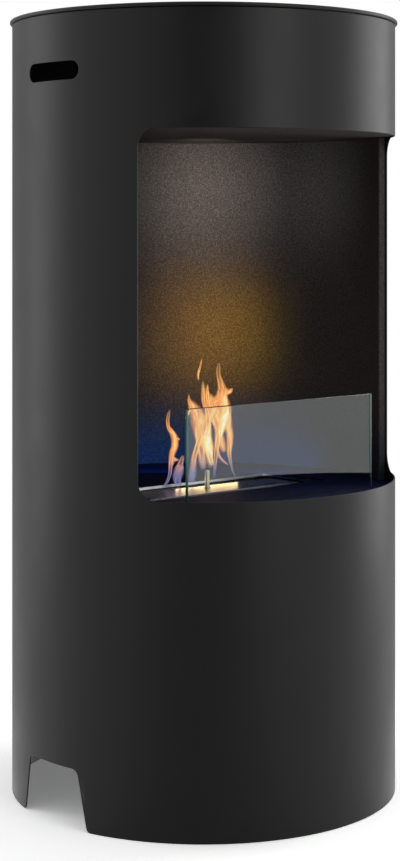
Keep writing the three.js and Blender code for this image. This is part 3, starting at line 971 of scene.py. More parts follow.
def liner_path():
    """From the tip of one return, round its bend and the firebox's back, to the tip of the other."""
    face = LINER_RADIUS - LINER_SHEET
    start = math.radians(-LINER_HALF_ANGLE)
    # the arc starts where the bend ends
    ease = LINER_BEND / face
    corners = []
    for radius, bearing in ((LINER_TIP, start), (face, start), (face, start - 2 * ease)):
        corners.append((radius * math.sin(bearing), -radius * math.cos(bearing)))
    fold = bent_path(corners, [0, LINER_BEND, 0])[:-1]
    path = list(fold)
    count = 90
    sweep = 2 * math.pi - 2 * (abs(start) + ease)
    length = fold[-1][0]
    for step in range(1, count + 1):
        out = at_bearing(start - ease - sweep * step / count).xy
        length += face * sweep / count
        path.append((length, out * face, -out, Vector((out.y, -out.x))))
    # the other return is the first one mirrored and walked the other way
    for reach, spot, normal, way in reversed(fold[:-1]):
        spot, normal = Vector((-spot.x, spot.y)), Vector((-normal.x, normal.y))
        path.append((length + fold[-1][0] - reach, spot, normal, Vector((way.x, -way.y))))
    return path


class FIREPLACE_OT_liner(bpy.types.Operator):
    """Curved firebox back with a bent return at each side of the window"""

    bl_idname = "fireplace.liner"
    bl_label = "Firebox liner"

    def execute(self, context):
        path = liner_path()
        span = (FLOOR_TOP + GAP, CEILING_BOTTOM - GAP)
        edge = context.scene.fireplace_sizes.edge_radius / MM
        coat = [material_for(context, "liner_coat")]
        cut = (STRIP_CORNER, LINER_SHEET, edge)
        liner = bent_strip("firebox_liner_sheet", path, span, *cut, path_place(path), coat, steps=3, row=60.0)
        settle(liner, "stove", "liner_coat", "firebox_liner")
        return {"FINISHED"}


def round_plate_outline():
    """The outline of the firebox floor and ceiling, with a pocket for the seam strip at the back."""
    half = SEAM_POCKET[0] / 2
    depth = PLATE_RADIUS - SEAM_POCKET[1]
    edge = math.asin(half / PLATE_RADIUS)
    count = 180
    outline = []
    for i in range(count + 1):
        angle = math.pi / 2 + edge + (2 * math.pi - 2 * edge) * i / count
        outline.append((PLATE_RADIUS * math.cos(angle), PLATE_RADIUS * math.sin(angle)))
    return outline + [(half, depth), (-half, depth)]


class FIREPLACE_OT_plates(bpy.types.Operator):
    """Firebox floor with the burner well and the slot of the pane, and the ceiling"""

    bl_idname = "fireplace.plates"
    bl_label = "Firebox floor and ceiling"

    def execute(self, context):
        side = PANE_WIDTH / 2 + PANE_SLOT_SPARE
        front, back = -PANE_DISTANCE - PANE_SLOT_HALF, -PANE_DISTANCE + PANE_SLOT_HALF
        well = rounded_rectangle(*WELL, PLATE_CORNER, 4)
        slot = rounded_rectangle(-side, front, side, back, CUT_CORNER, 3)
        outline = round_plate_outline()
        turned = [(x, -y) for x, y in reversed(outline)]
        edge = context.scene.fireplace_sizes.edge_radius / MM
        for node, plan, cuts, place, finish in (
            ("firebox_floor", outline, [well, slot], flat_place(FLOOR_TOP), "floor_coat"),
            ("firebox_ceiling", turned, [], flat_place(CEILING_BOTTOM, -1), "liner_coat"),
        ):
            coat = [material_for(context, finish)]
            plate = cut_sheet(f"{node}_plate", plan, cuts, PLATE_SHEET, edge, place, coat)
            settle(plate, "stove", finish, node)
        return {"FINISHED"}


class FIREPLACE_OT_pane(bpy.types.Operator):
    """Glass pane with ground arrises and polished edges"""

    bl_idname = "fireplace.pane"
    bl_label = "Glass pane"

    def execute(self, context):
        low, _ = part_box("glass_pane")
        upright = (-PANE_WIDTH / 2, low[2] / MM, PANE_WIDTH / 2, PANE_TOP)
        half = PANE_THICKNESS / 2
        edge = half - PANE_ARRIS
        rings = []
        for offset, inset in zip((half, edge, -edge, -half), (PANE_ARRIS, 0, 0, PANE_ARRIS)):
            outline = inset_rectangle(upright, inset, PANE_CORNER)
            rings.append([(u, offset - PANE_DISTANCE, v) for u, v in outline])
        materials = [material_for(context, "glass"), material_for(context, "glass_edge")]
        pane = ring_loft("glass_pane_sheet", rings, materials)
        for face in pane.data.polygons:
            face.use_smooth = abs(face.normal.y) <= 0.99
            face.material_index = 1 if abs(face.normal.x) > 0.6 else 0
        settle(pane, "pane", "glass", "glass_pane")
        return {"FINISHED"}


def leaning(upright):
    """Placer for a strip that leans back from the burner plate."""

    def place(u, v):
        spot, out, along_u, _ = upright(u, v)
        spot.y += (spot.z - PLATE_TOP) * LIP_LEAN
        out = Vector((out.x, out.y, -out.y * LIP_LEAN)).normalized()
        return spot, out, along_u, Vector((0, LIP_LEAN, 1)).normalized()

    return place


class FIREPLACE_OT_burner_plate(bpy.types.Operator):
    """Burner top plate with its mouth, and the lip standing along the back of the mouth"""

    bl_idname = "fireplace.burner_plate"
    bl_label = "Burner top plate"

    def execute(self, context):
        outline = rounded_rectangle(*TOP_PLATE, PLATE_CORNER, 5)
        holes = [rounded_rectangle(*MOUTH, CUT_CORNER, 4)]
        # the plate's dark blue-grey steel carries a painted blue glow of the flame roots
        painted_blue_glow = [material_for(context, "painted_blue_glow")]
        place = flat_place(PLATE_TOP)
        plate = cut_sheet("burner_plate_sheet", outline, holes, TOP_PLATE_SHEET, TOP_PLATE_EDGE, place, painted_blue_glow)
        settle(plate, "burner", "stainless", "burner_top_plate")
        # the lip: an upright strip whose ends turn forward beside the mouth
        back = MOUTH[3] + LIP_BEHIND_MOUTH + LIP_SHEET
        end = LIP_LENGTH / 2
        corners = [(end, back - LIP_TURN), (end, back), (-end, back), (-end, back - LIP_TURN)]
        path = bent_path(corners, [0, LIP_BEND, LIP_BEND, 0])
        span = (PLATE_TOP - GAP, PLATE_TOP + LIP_HEIGHT)
        place = leaning(path_place(path))
        steel = [material_for(context, "stainless")]
        lip = bent_strip("burner_back_lip", path, span, LIP_CORNER, LIP_SHEET, LIP_EDGE, place, steel)
        settle(lip, "burner", "stainless")
        return {"FINISHED"}


class FIREPLACE_OT_burner_lid(bpy.types.Operator):
    """Sliding burner lid and its pin"""

    bl_idname = "fireplace.burner_lid"
    bl_label = "Burner lid and pin"

    def execute(self, context):
        outline = rounded_rectangle(*BURNER_LID, CUT_CORNER, 4)
        hole = [(x, y) for x, y, _ in circle(LID_HOLE_RADIUS, 0, 20, (0, PIN_Y))]
        steel = [material_for(context, "stainless")]
        place = flat_place(BURNER_LID_TOP)
        lid = cut_sheet("burner_lid_sheet", outline, [hole], LID_SHEET, LID_EDGE, place, steel)
        settle(lid, "sliding_lid", "stainless", "burner_lid")
        # the pin: a rivet foot through the lid, a low collar and a shaft with a round top
        foot = BURNER_LID_TOP + 0.1
        collar = PIN_RADIUS + PIN_COLLAR
        top = BURNER_LID_TOP + PIN_HEIGHT
        section = [(PIN_RIVET_RADIUS / 2, BURNER_LID_BOTTOM), (PIN_RIVET_RADIUS, BURNER_LID_BOTTOM)]
        section += [(PIN_RIVET_RADIUS, foot), (collar - 0.1, foot), (collar, foot + 0.5)]
        section += [(PIN_RADIUS + 0.3, foot + 1.0), (PIN_RADIUS, foot + 1.5)]
        section += quarter(PIN_RADIUS - PIN_TOP_ROUND, top - PIN_TOP_ROUND, PIN_TOP_ROUND, 0, 6)
        rings = [circle(r, z, 32, (0, PIN_Y)) for r, z in section]
        pin = evened(ring_loft("lid_pin_turned", rings, [material_for(context, "pin_steel")]))
        settle(pin, "sliding_lid", "pin_steel", "lid_pin")
        return {"FINISHED"}


class FIREPLACE_OT_rails(bpy.types.Operator):
    """Folded guide rail over each end of the burner lid"""

    bl_idname = "fireplace.rails"
    bl_label = "Lid rails"

    def execute(self, context):
        end = BURNER_LID[2] + RAIL_SPARE
        foot = PLATE_TOP + GAP + RAIL_SHEET
        over = BURNER_LID_TOP + GAP + RAIL_SHEET
        wall = end + RAIL_SHEET
        corners = [(end + RAIL_FOOT, foot), (wall, foot), (wall, over), (end - RAIL_COVER, over)]
        path = bent_path(corners, [0, RAIL_FOOT_BEND, RAIL_TOP_BEND, 0], 30)
        # the rails' dark blue-grey steel carries a painted blue glow of the flame roots
        painted_blue_glow = [material_for(context, "painted_blue_glow")]
        for side, name in ((-1, "left"), (1, "right")):
            place = path_place(path, Vector((0, side, 0)), lambda p, side=side: Vector((side * p.x, 0, p.y)))
            span = sorted((side * RAIL_Y[0], side * RAIL_Y[1]))
            cut = (STRIP_CORNER, RAIL_SHEET, RAIL_EDGE)
            rail = bent_strip(f"lid_rail_{name}_fold", path, span, *cut, place, painted_blue_glow, steps=3)
            settle(rail, "burner", "stainless", f"lid_rail_{name}")
        return {"FINISHED"}


def tank_section():
    """Inset and height from the middle of the underside, round the rim and down inside."""
    middle = 40
    flat = TANK_PRESS + 2
    inner = TANK_PRESS - TANK_SHEET
    inner_foot = TANK_BOTTOM + TANK_SHEET
    section = [(middle, TANK_BOTTOM), (flat, TANK_BOTTOM)]
    section += [(TANK_PRESS - u, TANK_BOTTOM + TANK_PRESS + v) for u, v in quarter(0, 0, TANK_PRESS, -90)]
    section += [(0, TANK_TOP - TANK_RIM), (TANK_RIM, TANK_TOP)]
    section += [(TANK_SHEET - 0.2, TANK_TOP), (TANK_SHEET, TANK_TOP - TANK_RIM)]
    section += [(TANK_SHEET + inner - u, inner_foot + inner - v) for u, v in quarter(0, 0, inner, 0)]
    return section + [(flat, inner_foot), (middle, inner_foot)]


def split_sides(outline, corner_points, parts):
    """Each side between two round corners split into equal parts."""
    result = []
    for i, point in enumerate(outline):
        result.append(point)
        if (i + 1) % corner_points == 0:
            after = Vector(outline[(i + 1) % len(outline)])
            result += [tuple(Vector(point).lerp(after, step / parts)) for step in range(1, parts)]
    return result


def wool_rings():
    """Levels of a pressed block with bulging sides, each point moved a little by a fixed chance."""
    low, high = (Vector(corner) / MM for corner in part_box("wool_block"))
    plan = (low.x, low.y, high.x, high.y)
    rings = []
    levels = 8
    chance = random.Random(3)
    for level in range(levels + 1):
        share = level / levels
        inset = WOOL_BULGE - WOOL_BULGE * math.sin(math.pi * share)
        if level in (0, levels):
            inset += WOOL_SOFTENING
        height = low.z + (high.z - low.z) * share
        ring = []
        for u, v in split_sides(inset_rectangle(plan, inset, WOOL_CORNER, 5), 6, 8):
            u += chance.uniform(-WOOL_SHOVE, WOOL_SHOVE)
            v += chance.uniform(-WOOL_SHOVE, WOOL_SHOVE)
            ring.append((u, v, height + chance.uniform(-WOOL_LIFT, WOOL_LIFT)))
        rings.append(ring)
    for inset in (6, 14, 24, 34):
        outline = split_sides(inset_rectangle(plan, inset, WOOL_CORNER, 5), 6, 8)
        rings.append([(u, v, high.z - WOOL_SAG + chance.uniform(-WOOL_SAG, WOOL_LIFT)) for u, v in outline])
    return rings


class FIREPLACE_OT_tank(bpy.types.Operator):
    """Pressed fuel tank under the burner plate and the wool block in it"""

    bl_idname = "fireplace.tank"
    bl_label = "Burner tank and wool"

    def execute(self, context):
        rings = []
        for inset, height in tank_section():
            outline = inset_rectangle(TANK, inset, max(1.0, TANK_CORNER - inset), 5)
            rings.append([(u, v, height) for u, v in outline])
        tank = evened(ring_loft("burner_tank_pressed", rings, [material_for(context, "stainless")]))
        settle(tank, "burner", "stainless", "burner_tank")
        wool = ring_loft("ceramic_wool_block", wool_rings(), [material_for(context, "wool")])
        smooth = wool.modifiers.new("smooth", "SUBSURF")
        smooth.levels = 1
        smooth.render_levels = 1
        settle(baked(wool), "burner", "wool", "wool_block")
        return {"FINISHED"}


# ---------------------------------------------------------------- fittings, placed by Geometry Nodes


def fixing_tree():
    """Geometry Nodes: puts one copy of a fitting on each point, turned to the point's bearing."""
    tree = bpy.data.node_groups.new("fittings_at_bearings", "GeometryNodeTree")
    for name, way, kind in (
        ("Geometry", "INPUT", "Geometry"),
        ("Fitting", "INPUT", "Object"),
        ("Loose turn", "INPUT", "Float"),
        ("Seed", "INPUT", "Int"),
        ("Finish", "INPUT", "Material"),
        ("Geometry", "OUTPUT", "Geometry"),
    ):
        tree.interface.new_socket(name, in_out=way, socket_type=f"NodeSocket{kind}")
    start = add_node(tree, "NodeGroupInput")
    fitting = add_node(tree, "GeometryNodeObjectInfo", links={"Object": (start, "Fitting")})
    spot = add_node(tree, "GeometryNodeInputPosition")
    apart = add_node(tree, "ShaderNodeSeparateXYZ", links={"Vector": (spot, "Position")})
    links = {0: (apart, "Y")}
    forward = add_node(tree, "ShaderNodeMath", operation="MULTIPLY", values={1: -1.0}, links=links)
    links = {0: (apart, "X"), 1: (forward, "Value")}
    bearing = add_node(tree, "ShaderNodeMath", operation="ARCTAN2", links=links)
    turn = add_node(tree, "ShaderNodeCombineXYZ", links={"Z": (bearing, "Value")})
    links = {3: (start, "Loose turn"), "Seed": (start, "Seed")}
    loose = add_node(tree, "FunctionNodeRandomValue", data_type="FLOAT", links=links)
    spin = add_node(tree, "ShaderNodeCombineXYZ", links={"Z": (loose, 1)})
    links = {"Points": (start, "Geometry"), "Instance": (fitting, "Geometry"), "Rotation": (turn, "Vector")}
    place = add_node(tree, "GeometryNodeInstanceOnPoints", links=links)
    links = {"Instances": (place, "Instances"), "Rotation": (spin, "Vector")}
    turned = add_node(tree, "GeometryNodeRotateInstances", links=links)
    real = add_node(tree, "GeometryNodeRealizeInstances", links={"Geometry": (turned, "Instances")})
    links = {"Geometry": (real, "Geometry"), "Material": (start, "Finish")}
    finish = add_node(tree, "GeometryNodeSetMaterial", links=links)
    add_node(tree, "NodeGroupOutput", links={"Geometry": (finish, "Geometry")})
    return tree


def spread(context, kind, fitting, height, loose=0.0):
    """Puts a fitting on its four places, keeps the result as one plain mesh and removes the pattern."""
    places = [at_bearing(math.radians(b)) * FIXING_RADIUS + UP * height for b in FIXING_BEARINGS]
    carrier = new_piece(f"{kind}s", places, [], [])
    tree = bpy.data.node_groups.get("fittings_at_bearings") or fixing_tree()
    modifier = carrier.modifiers.new("spread", "NODES")
    modifier.node_group = tree
    values = {
        "Fitting": fitting,
        "Loose turn": loose,
        "Seed": context.scene.fireplace_sizes.turn_seed,
        "Finish": material_for(context, "zinc_steel"),
    }
    for item in tree.interface.items_tree:
        if item.in_out == "INPUT" and item.name in values:
            modifier[item.identifier] = values[item.name]
    baked(carrier)
    if not carrier.data.polygons:
        raise RuntimeError(f"{kind}s came out empty")
    bpy.data.objects.remove(fitting)
    settle(carrier, "stove", "zinc_steel", *(f"{kind}_{i}" for i in range(1, 5)))


def hex_loop(corner, height, count):
    """A hexagon with points along its sides, so that it matches a circle of the same count."""
    corners = [Vector((u, v)) for u, v, _ in circle(corner, 0, 6)]
    each = count // 6
    loop = []
    for start, end in zip(corners, corners[1:] + corners[:1]):
        loop += [(*start.lerp(end, k / each), height) for k in range(each)]
    return loop


def hex_nut(name, stud_up, stud_down):
    """Chamfered hexagon nut on the end of a threaded stud; the nut's foot is at height 0."""
    corner = NUT_ACROSS / math.sqrt(3)
    face = NUT_ACROSS / 2 - 0.1
    count = 36
    chamfer = 0.07 * NUT_ACROSS
    rings = [
        circle(BOLT_RADIUS, 0, count),
        circle(face, 0, count),
        hex_loop(corner, chamfer, count),
        hex_loop(corner, NUT_HEIGHT - chamfer, count),
        circle(face, NUT_HEIGHT, count),
        circle(BOLT_RADIUS, NUT_HEIGHT, count),
    ]
    nut = ring_loft(name, rings, [], closed=True)
    stud = BOLT_RADIUS - 0.25
    # two levels for each millimetre of pitch: a crest and a root
    levels = round((stud_up + stud_down) * 2)
    section = [(stud - 1.0, -stud_down), (stud - 0.5, -stud_down)]
    for level in range(1, levels):
        deep = 0.0 if level % 2 else THREAD_DEPTH
        section.append((stud - deep, -stud_down + (stud_up + stud_down) * level / levels))
    section += [(stud - 0.5, stud_up), (stud - 1.0, stud_up)]
    bolt = ring_loft(f"{name}_stud", [circle(r, z, 18) for r, z in section], [])
    return joined(name, [nut, bolt])


def joined(name, pieces):
    """One mesh object from several."""
    points, faces = [], []
    for piece in pieces:
        start = len(points)
        points += [v.co / MM for v in piece.data.vertices]
        faces += [tuple(start + i for i in face.vertices) for face in piece.data.polygons]
        bpy.data.objects.remove(piece)
    return evened(new_piece(name, points, faces, []))


def angle_bracket(name, leg):
    """Folded bracket at the front of its ring: flat leg with a bolt hole, wall leg up or down by leg.

    It is drawn about the fixing place, so that a copy put there lies against the shell."""
    up = leg > 0
    wall = BRACKET_WALL - FIXING_RADIUS
    tip = wall - BRACKET_REACH
    # walked in (outward, height), so that the outer face of the fold is on the right
    corners = [(tip, 0), (wall, 0), (wall, leg)] if up else [(wall, leg - BRACKET_SHEET), (wall, 0), (tip, 0)]
    path = bent_path(corners, [0, BRACKET_BEND, 0])
    place = path_place(path, Vector((1, 0, 0)), lambda p: Vector((0, -p.x, p.y)))
    hole_u = -tip if up else path[-1][0] + tip
    hole = [(u, v) for u, v, _ in circle(BOLT_RADIUS, 0, 24, (hole_u, 0))]
    span = (-BRACKET_WIDTH / 2, BRACKET_WIDTH / 2)
    cut = (BRACKET_CORNER, BRACKET_SHEET, BRACKET_EDGE)
    bracket = bent_strip(name, path, span, *cut, place, [], holes=[hole])
    if not up:
        bracket.data.transform(Matrix.Translation((0, 0, BRACKET_SHEET * MM)))
    return bracket


class FIREPLACE_OT_fittings(bpy.types.Operator):
    """Brackets, nuts and stud ends that hold the lid, ceiling and floor to the shell"""

    bl_idname = "fireplace.fittings"
    bl_label = "Brackets and nuts"

    def execute(self, context):
        seat = SHELL_TOP - BRACKET_SHEET
        over = CEILING_BOTTOM + PLATE_SHEET + GAP
        under = FLOOR_BOTTOM - GAP - BRACKET_SHEET
        for name, height, leg, nut_foot, stud_up, stud_down in (
            ("lid", seat, -BRACKET_LEG, seat - GAP - NUT_HEIGHT, NUT_HEIGHT + 2.5, 3.0),
            ("ceiling", over, BRACKET_LEG, over + BRACKET_SHEET + GAP, NUT_HEIGHT + 3.0, 2.5),
            ("floor", under, -BRACKET_LEG, under - GAP - NUT_HEIGHT, NUT_HEIGHT + 2.5, 3.0),
        ):
            spread(context, f"{name}_bracket", angle_bracket(f"{name}_bracket_pattern", leg), height)
            nut = hex_nut(f"{name}_nut_pattern", stud_up, stud_down)
            spread(context, f"{name}_nut", nut, nut_foot, math.radians(NUT_LOOSE_TURN))
        return {"FINISHED"}


class FIREPLACE_OT_carried_over(bpy.types.Operator):
    """Materials for the nodes of the frame that keep their own shape"""

    bl_idname = "fireplace.carried_over"
    bl_label = "Carried-over pieces"

    def execute(self, context):
        slots = {row["node"]: row["material_slot"] for row in frame["record"]["subparts"]}
        for name, node in frame["nodes"].items():
            node.data.materials.clear()
            node.data.materials.append(material_for(context, slots[name]))
        return {"FINISHED"}


# ---------------------------------------------------------------- flames

# Each tongue: its walk of (x, height above the plate, half width) from root to tip, its depth behind the
# middle of the mouth at root and tip, and how thick it is as a share of its width.
TONGUES = (
    (((-52, 2, 1.5), (-44, 9, 2.5), (-39, 20, 3.5), (-38, 34, 4), (-36, 46, 4.5), (-32, 56, 5), (-33, 66, 5),
      (-38, 74, 4), (-44, 81, 3.2), (-46, 90, 3.5), (-45, 98, 3), (-43, 105, 1)), 2, -4, 0.5),
    (((-33, 52, 3), (-31, 60, 4), (-26, 64, 3), (-19, 63, 1)), 0, 4, 0.5),
    (((-37, 30, 3), (-32, 38, 3.5), (-27, 37, 2.5), (-20, 36, 1)), 1, 5, 0.5),
    (((-20, 2, 5), (-24, 11, 6.5), (-22, 22, 7), (-19, 32, 5), (-15, 42, 2)), 4, 2, 0.6),
    (((-5, 5, 6), (-3, 14, 5.5), (-1, 26, 5), (1, 38, 5), (6, 50, 5.5), (11, 62, 5.5), (14, 72, 5),
      (17, 81, 5), (21, 89, 4), (22, 97, 1.5)), 0, 3, 0.5),
    (((14, 50, 4), (17, 60, 6.5), (21, 72, 8), (25, 84, 8), (31, 96, 8), (38, 106, 7.5), (46, 114, 6),
      (50, 122, 3)), 3, 0, 0.5),
    (((27, 22, 2.5), (26, 30, 4.5), (25, 40, 5), (25, 52, 5.5), (22, 64, 6), (22, 76, 5.5), (21, 90, 4.5),
      (18, 102, 3.5), (15, 112, 3.5), (15, 122, 4), (14, 131, 3.2), (13, 140, 1)), -2, -5, 0.5),
    (((36, 8, 1.8), (37, 20, 3), (38, 32, 4), (40, 46, 5), (42, 60, 6), (46, 74, 8), (51, 88, 10),
      (52, 100, 11), (49, 112, 10), (50, 124, 8), (47, 134, 6), (43, 145, 4.5),
      (43, 155, 4), (44, 163, 1.5)), 1, -3, 0.5),
    (((79, 4, 1.2), (72, 14, 1.8), (68, 26, 3), (65, 40, 4.2), (66, 54, 5), (65, 66, 5.5), (61, 76, 7),
      (59, 88, 8), (60, 100, 6.5), (58, 112, 5), (54, 124, 4.5), (50, 134, 2)), 4, 0, 0.5),
    (((55, 112, 3.5), (60, 120, 5), (66, 121, 5), (72, 122, 3), (76, 125, 1)), 2, 6, 0.5),
    (((6, 84, 3), (5, 94, 4.5), (3, 103, 4.5), (-3, 112, 3), (-4, 122, 1)), 2, 4, 0.5),
    (((30, 104, 3.5), (25, 112, 3.5), (24, 124, 2.5), (24, 134, 1)), -1, -2, 0.5),
    (((7, 140, 0.8), (6, 148, 2), (9, 158, 1.8), (11, 168, 0.7)), -3, -5, 0.5),
    (((66, 22, 1.0), (58, 27, 1.8), (48, 36, 2.2), (44, 48, 2.8), (45, 62, 3.5), (50, 74, 4), (55, 84, 2)),
     5, 2, 0.5),
    (((-12, 90, 1.2), (-9, 97, 2), (-5, 103, 1.5), (-2, 110, 0.7)), 1, 1, 0.5),
    (((22, 20, 4), (20, 34, 7), (17, 50, 9), (15, 72, 10.5), (12, 91, 11), (4, 105, 8), (-4, 116, 3)),
     6, 6, 0.4),
    (((60, 40, 4), (52, 60, 7), (46, 80, 10), (40, 98, 12), (34, 112, 9), (30, 122, 4)), 7, 5, 0.4),
)
# The pale hearts inside them, in the same way.
HEARTS = (
    (((26, 26, 3), (23, 36, 6), (20, 48, 7.5), (17, 61, 7), (19, 74, 6), (24, 84, 3)), -7, -6, 0.4),
    (((40, 60, 3), (44, 76, 6), (50, 92, 7.5), (52, 104, 6), (50, 118, 3)), -6, -6, 0.4),
)
FLAME_SIDES = 16
FLAME_WIDENING = 1.15


def smooth_walk(stations, steps):
    """Catmull-Rom curve through the stations."""
    ends = [Vector(p) for p in (stations[0], *stations, stations[-1])]
    walk = []
    for a, b, c, d in zip(ends, ends[1:], ends[2:], ends[3:]):
        for step in range(steps):
            t = step / steps
            bend = (2 * a - 5 * b + 4 * c - d) * t**2 + (3 * b - a - 3 * c + d) * t**3
            walk.append(0.5 * (2 * b + (c - a) * t + bend))
    walk.append(ends[-1])
    return walk


def tongue_points(walk, near, far, thick, phase):
    """An oval ring round each station of the walk, turned a little to and fro on the way up."""
    points = []
    last = len(walk) - 1
    for i, (x, z, half) in enumerate(walk):
        share = i / last
        ahead = walk[min(i + 1, last)] - walk[max(i - 1, 0)]
        way = Vector((ahead.x, 0, ahead.y)).normalized()
        twist = 0.5 * math.sin(3 * math.pi * share + phase)
        across = Vector((way.z, 0, -way.x)) * math.cos(twist) + Vector((0, 1, 0)) * math.sin(twist)
        across.normalize()
        deep = way.cross(across).normalized()
        centre = Vector((x, MOUTH_MIDDLE + near + (far - near) * share, PLATE_TOP + z))
        for k in range(FLAME_SIDES):
            angle = 2 * math.pi * k / FLAME_SIDES
            width = math.cos(angle) * half * FLAME_WIDENING
            points.append(centre + across * width + deep * math.sin(angle) * half * thick)
    return points


def tongue_faces(start, rows):
    """The faces between the rings and over both ends, and a (side, height) for each of their corners."""
    faces = []
    maps = []
    for i in range(rows - 1):
        low, high = i / (rows - 1), (i + 1) / (rows - 1)
        a, b = start + i * FLAME_SIDES, start + (i + 1) * FLAME_SIDES
        for k in range(FLAME_SIDES):
            j = (k + 1) % FLAME_SIDES
            faces.append((a + k, a + j, b + j, b + k))
            left, right = (0.5 - 0.5 * math.cos(2 * math.pi * m / FLAME_SIDES) for m in (k, k + 1))
            maps += [(left, low), (right, low), (right, high), (left, high)]
    tip = start + (rows - 1) * FLAME_SIDES
    faces.append(tuple(reversed(range(start, start + FLAME_SIDES))))
    faces.append(tuple(range(tip, tip + FLAME_SIDES)))
    maps += [(0.0, 0.0)] * FLAME_SIDES + [(0.0, 1.0)] * FLAME_SIDES
    return faces, maps


class FIREPLACE_OT_flames(bpy.types.Operator):
    """Tongues of flame that rise from the burner's mouth"""

    bl_idname = "fireplace.flames"
    bl_label = "Flames"

    def execute(self, context):
        for name, tongues, finish in (
            ("flame_tongues", TONGUES, "flame"),
            ("flame_hearts", HEARTS, "flame_heart"),
        ):
            points, faces, maps = [], [], []
            for stations, near, far, thick in tongues:
                walk = smooth_walk(stations, 5)
                more_faces, more_maps = tongue_faces(len(points), len(walk))
                points += tongue_points(walk, near, far, thick, len(points))
                faces += more_faces
                maps += more_maps
            flames = new_piece(name, points, faces, [material_for(context, finish)])
            layer = flames.data.uv_layers.new(name="flame")
            for entry, value in zip(layer.data, maps):
                entry.uv = value
            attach(flames, "burner")
            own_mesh(flames)
        return {"FINISHED"}


# ---------------------------------------------------------------- stage

WHITE = (1, 1, 1, 1)
TOWARDS_CAMERA = (-0.659, -0.752, 0.0)
ROOM_LEVEL = 0.42
FLOOR_MIRROR_LEAST = 0.38
SHADOW_LIFT = 0.16
STUDIO_LEVELS = ((0.0, 0.3), (0.25, 0.85), (0.55, 1.0), (0.9, 0.7), (0.96, 0.5), (1.0, 0.0))


def seen_rays(tree):
    """Two (node, output) pairs: 1 for a glossy ray, and 1 for one of the camera or one through glass."""
    rays = add_node(tree, "ShaderNodeLightPath")
    links = {0: (rays, "Is Camera Ray"), 1: (rays, "Is Transmission Ray")}
    seen = add_node(tree, "ShaderNodeMath", operation="MAXIMUM", links=links)
    return (rays, "Is Glossy Ray"), (seen, "Value")


def mirrored_level(tree, direction, darkest):
    """How bright the studio is in a mirror: 1 at the sides, less behind the object and darkest where the
    camera stands. direction is the (node, output) that points there from the object."""
    values = {1: TOWARDS_CAMERA}
    links = {0: direction}
    facing = add_node(tree, "ShaderNodeVectorMath", operation="DOT_PRODUCT", values=values, links=links)
    values = {"From Min": -1.0, "From Max": 1.0}
    nearness = add_node(tree, "ShaderNodeMapRange", values=values, links={"Value": (facing, "Value")})
    stops = [(place, [max(darkest, level)] * 3 + [1]) for place, level in STUDIO_LEVELS]
    return add_node(tree, "ShaderNodeValToRGB", links={"Fac": (nearness, "Result")}, stops=stops), "Color"


def studio_floor():
    """Pale floor that takes the object's soft shadow and turns to the white of the backdrop further out."""
    material, tree = new_material("pale_studio_floor")
    place = on_piece(tree)
    away = add_node(tree, "ShaderNodeVectorMath", operation="LENGTH", links={0: place})
    far = add_node(
        tree,
        "ShaderNodeMapRange",
        interpolation_type="SMOOTHSTEP",
        values={"From Min": 0.35, "From Max": 0.85},
        links={"Value": (away, "Value")},
    )
    scattered = add_node(tree, "ShaderNodeBsdfDiffuse", values={"Color": (1.9, 1.9, 1.9, 1.0)})
    # keeps the deepest shadow a mid grey, as on a floor that glows a little from below
    lifted = add_node(tree, "ShaderNodeEmission", values={"Color": WHITE, "Strength": SHADOW_LIFT})
    shown = add_node(tree, "ShaderNodeAddShader", links={0: (scattered, "BSDF"), 1: (lifted, "Emission")})
    white = add_node(tree, "ShaderNodeEmission", values={"Color": WHITE, "Strength": 1.0})
    outward = add_node(tree, "ShaderNodeVectorMath", operation="NORMALIZE", links={0: place})
    level = mirrored_level(tree, (outward, "Vector"), FLOOR_MIRROR_LEAST)
    mirrored = add_node(tree, "ShaderNodeEmission", links={"Color": level})
    lit = add_node(tree, "ShaderNodeBsdfDiffuse", values={"Color": linear("#e6e6e6")})
    glossy, seen = seen_rays(tree)
    links = {0: (far, "Result"), 1: (shown, "Shader"), 2: (white, "Emission")}
    near = add_node(tree, "ShaderNodeMixShader", links=links)
    links = {0: glossy, 1: (lit, "BSDF"), 2: (mirrored, "Emission")}
    unseen = add_node(tree, "ShaderNodeMixShader", links=links)
    links = {0: seen, 1: (unseen, "Shader"), 2: (near, "Shader")}
    return ended(material, (add_node(tree, "ShaderNodeMixShader", links=links), "Shader"))


def stage_floor():
    """A wide square at height 0."""
    reach = 6000
    corners = [(-reach, -reach, 0), (reach, -reach, 0), (reach, reach, 0), (-reach, reach, 0)]
    new_piece("stage_floor", corners, [(0, 1, 2, 3)], [studio_floor()])


def stage_world(level):
    """Soft white surroundings: level for what lights the object, 1 for what is seen."""
    world = bpy.data.worlds.new("soft_studio")
    bpy.context.scene.world = world
    world.use_nodes = True
    tree = world.node_tree
    tree.nodes.clear()
    place = add_node(tree, "ShaderNodeTexCoord")
    glossy, seen = seen_rays(tree)
    links = {0: glossy, 3: mirrored_level(tree, (place, "Generated"), 0.0)}
    lighting = add_node(tree, "ShaderNodeMix", values={2: level}, links=links)
    strength = add_node(tree, "ShaderNodeMath", operation="MAXIMUM", links={0: (lighting, 0), 1: seen})
    values = {"Color": WHITE}
    sky = add_node(tree, "ShaderNodeBackground", values=values, links={"Strength": (strength, "Value")})
    add_node(tree, "ShaderNodeOutputWorld", links={"Surface": (sky, "Background")})


def area_lamp(name, bearing, distance, height, size, power, target=(0, 0, 0.5), colour="#ffffff"):
    """A rectangular soft light at a bearing round the object, aimed at a point."""
    data = bpy.data.lights.new(name, "AREA")
    data.shape = "RECTANGLE"
    data.size, data.size_y = size
    data.energy = power
    data.color = linear(colour)[:3]
    lamp = bpy.data.objects.new(name, data)
    lamp.location = at_bearing(math.radians(bearing)) * distance + UP * height
    lamp.rotation_euler = (Vector(target) - lamp.location).to_track_quat("-Z", "Y").to_euler()
    bpy.context.scene.collection.objects.link(lamp)
    return lamp


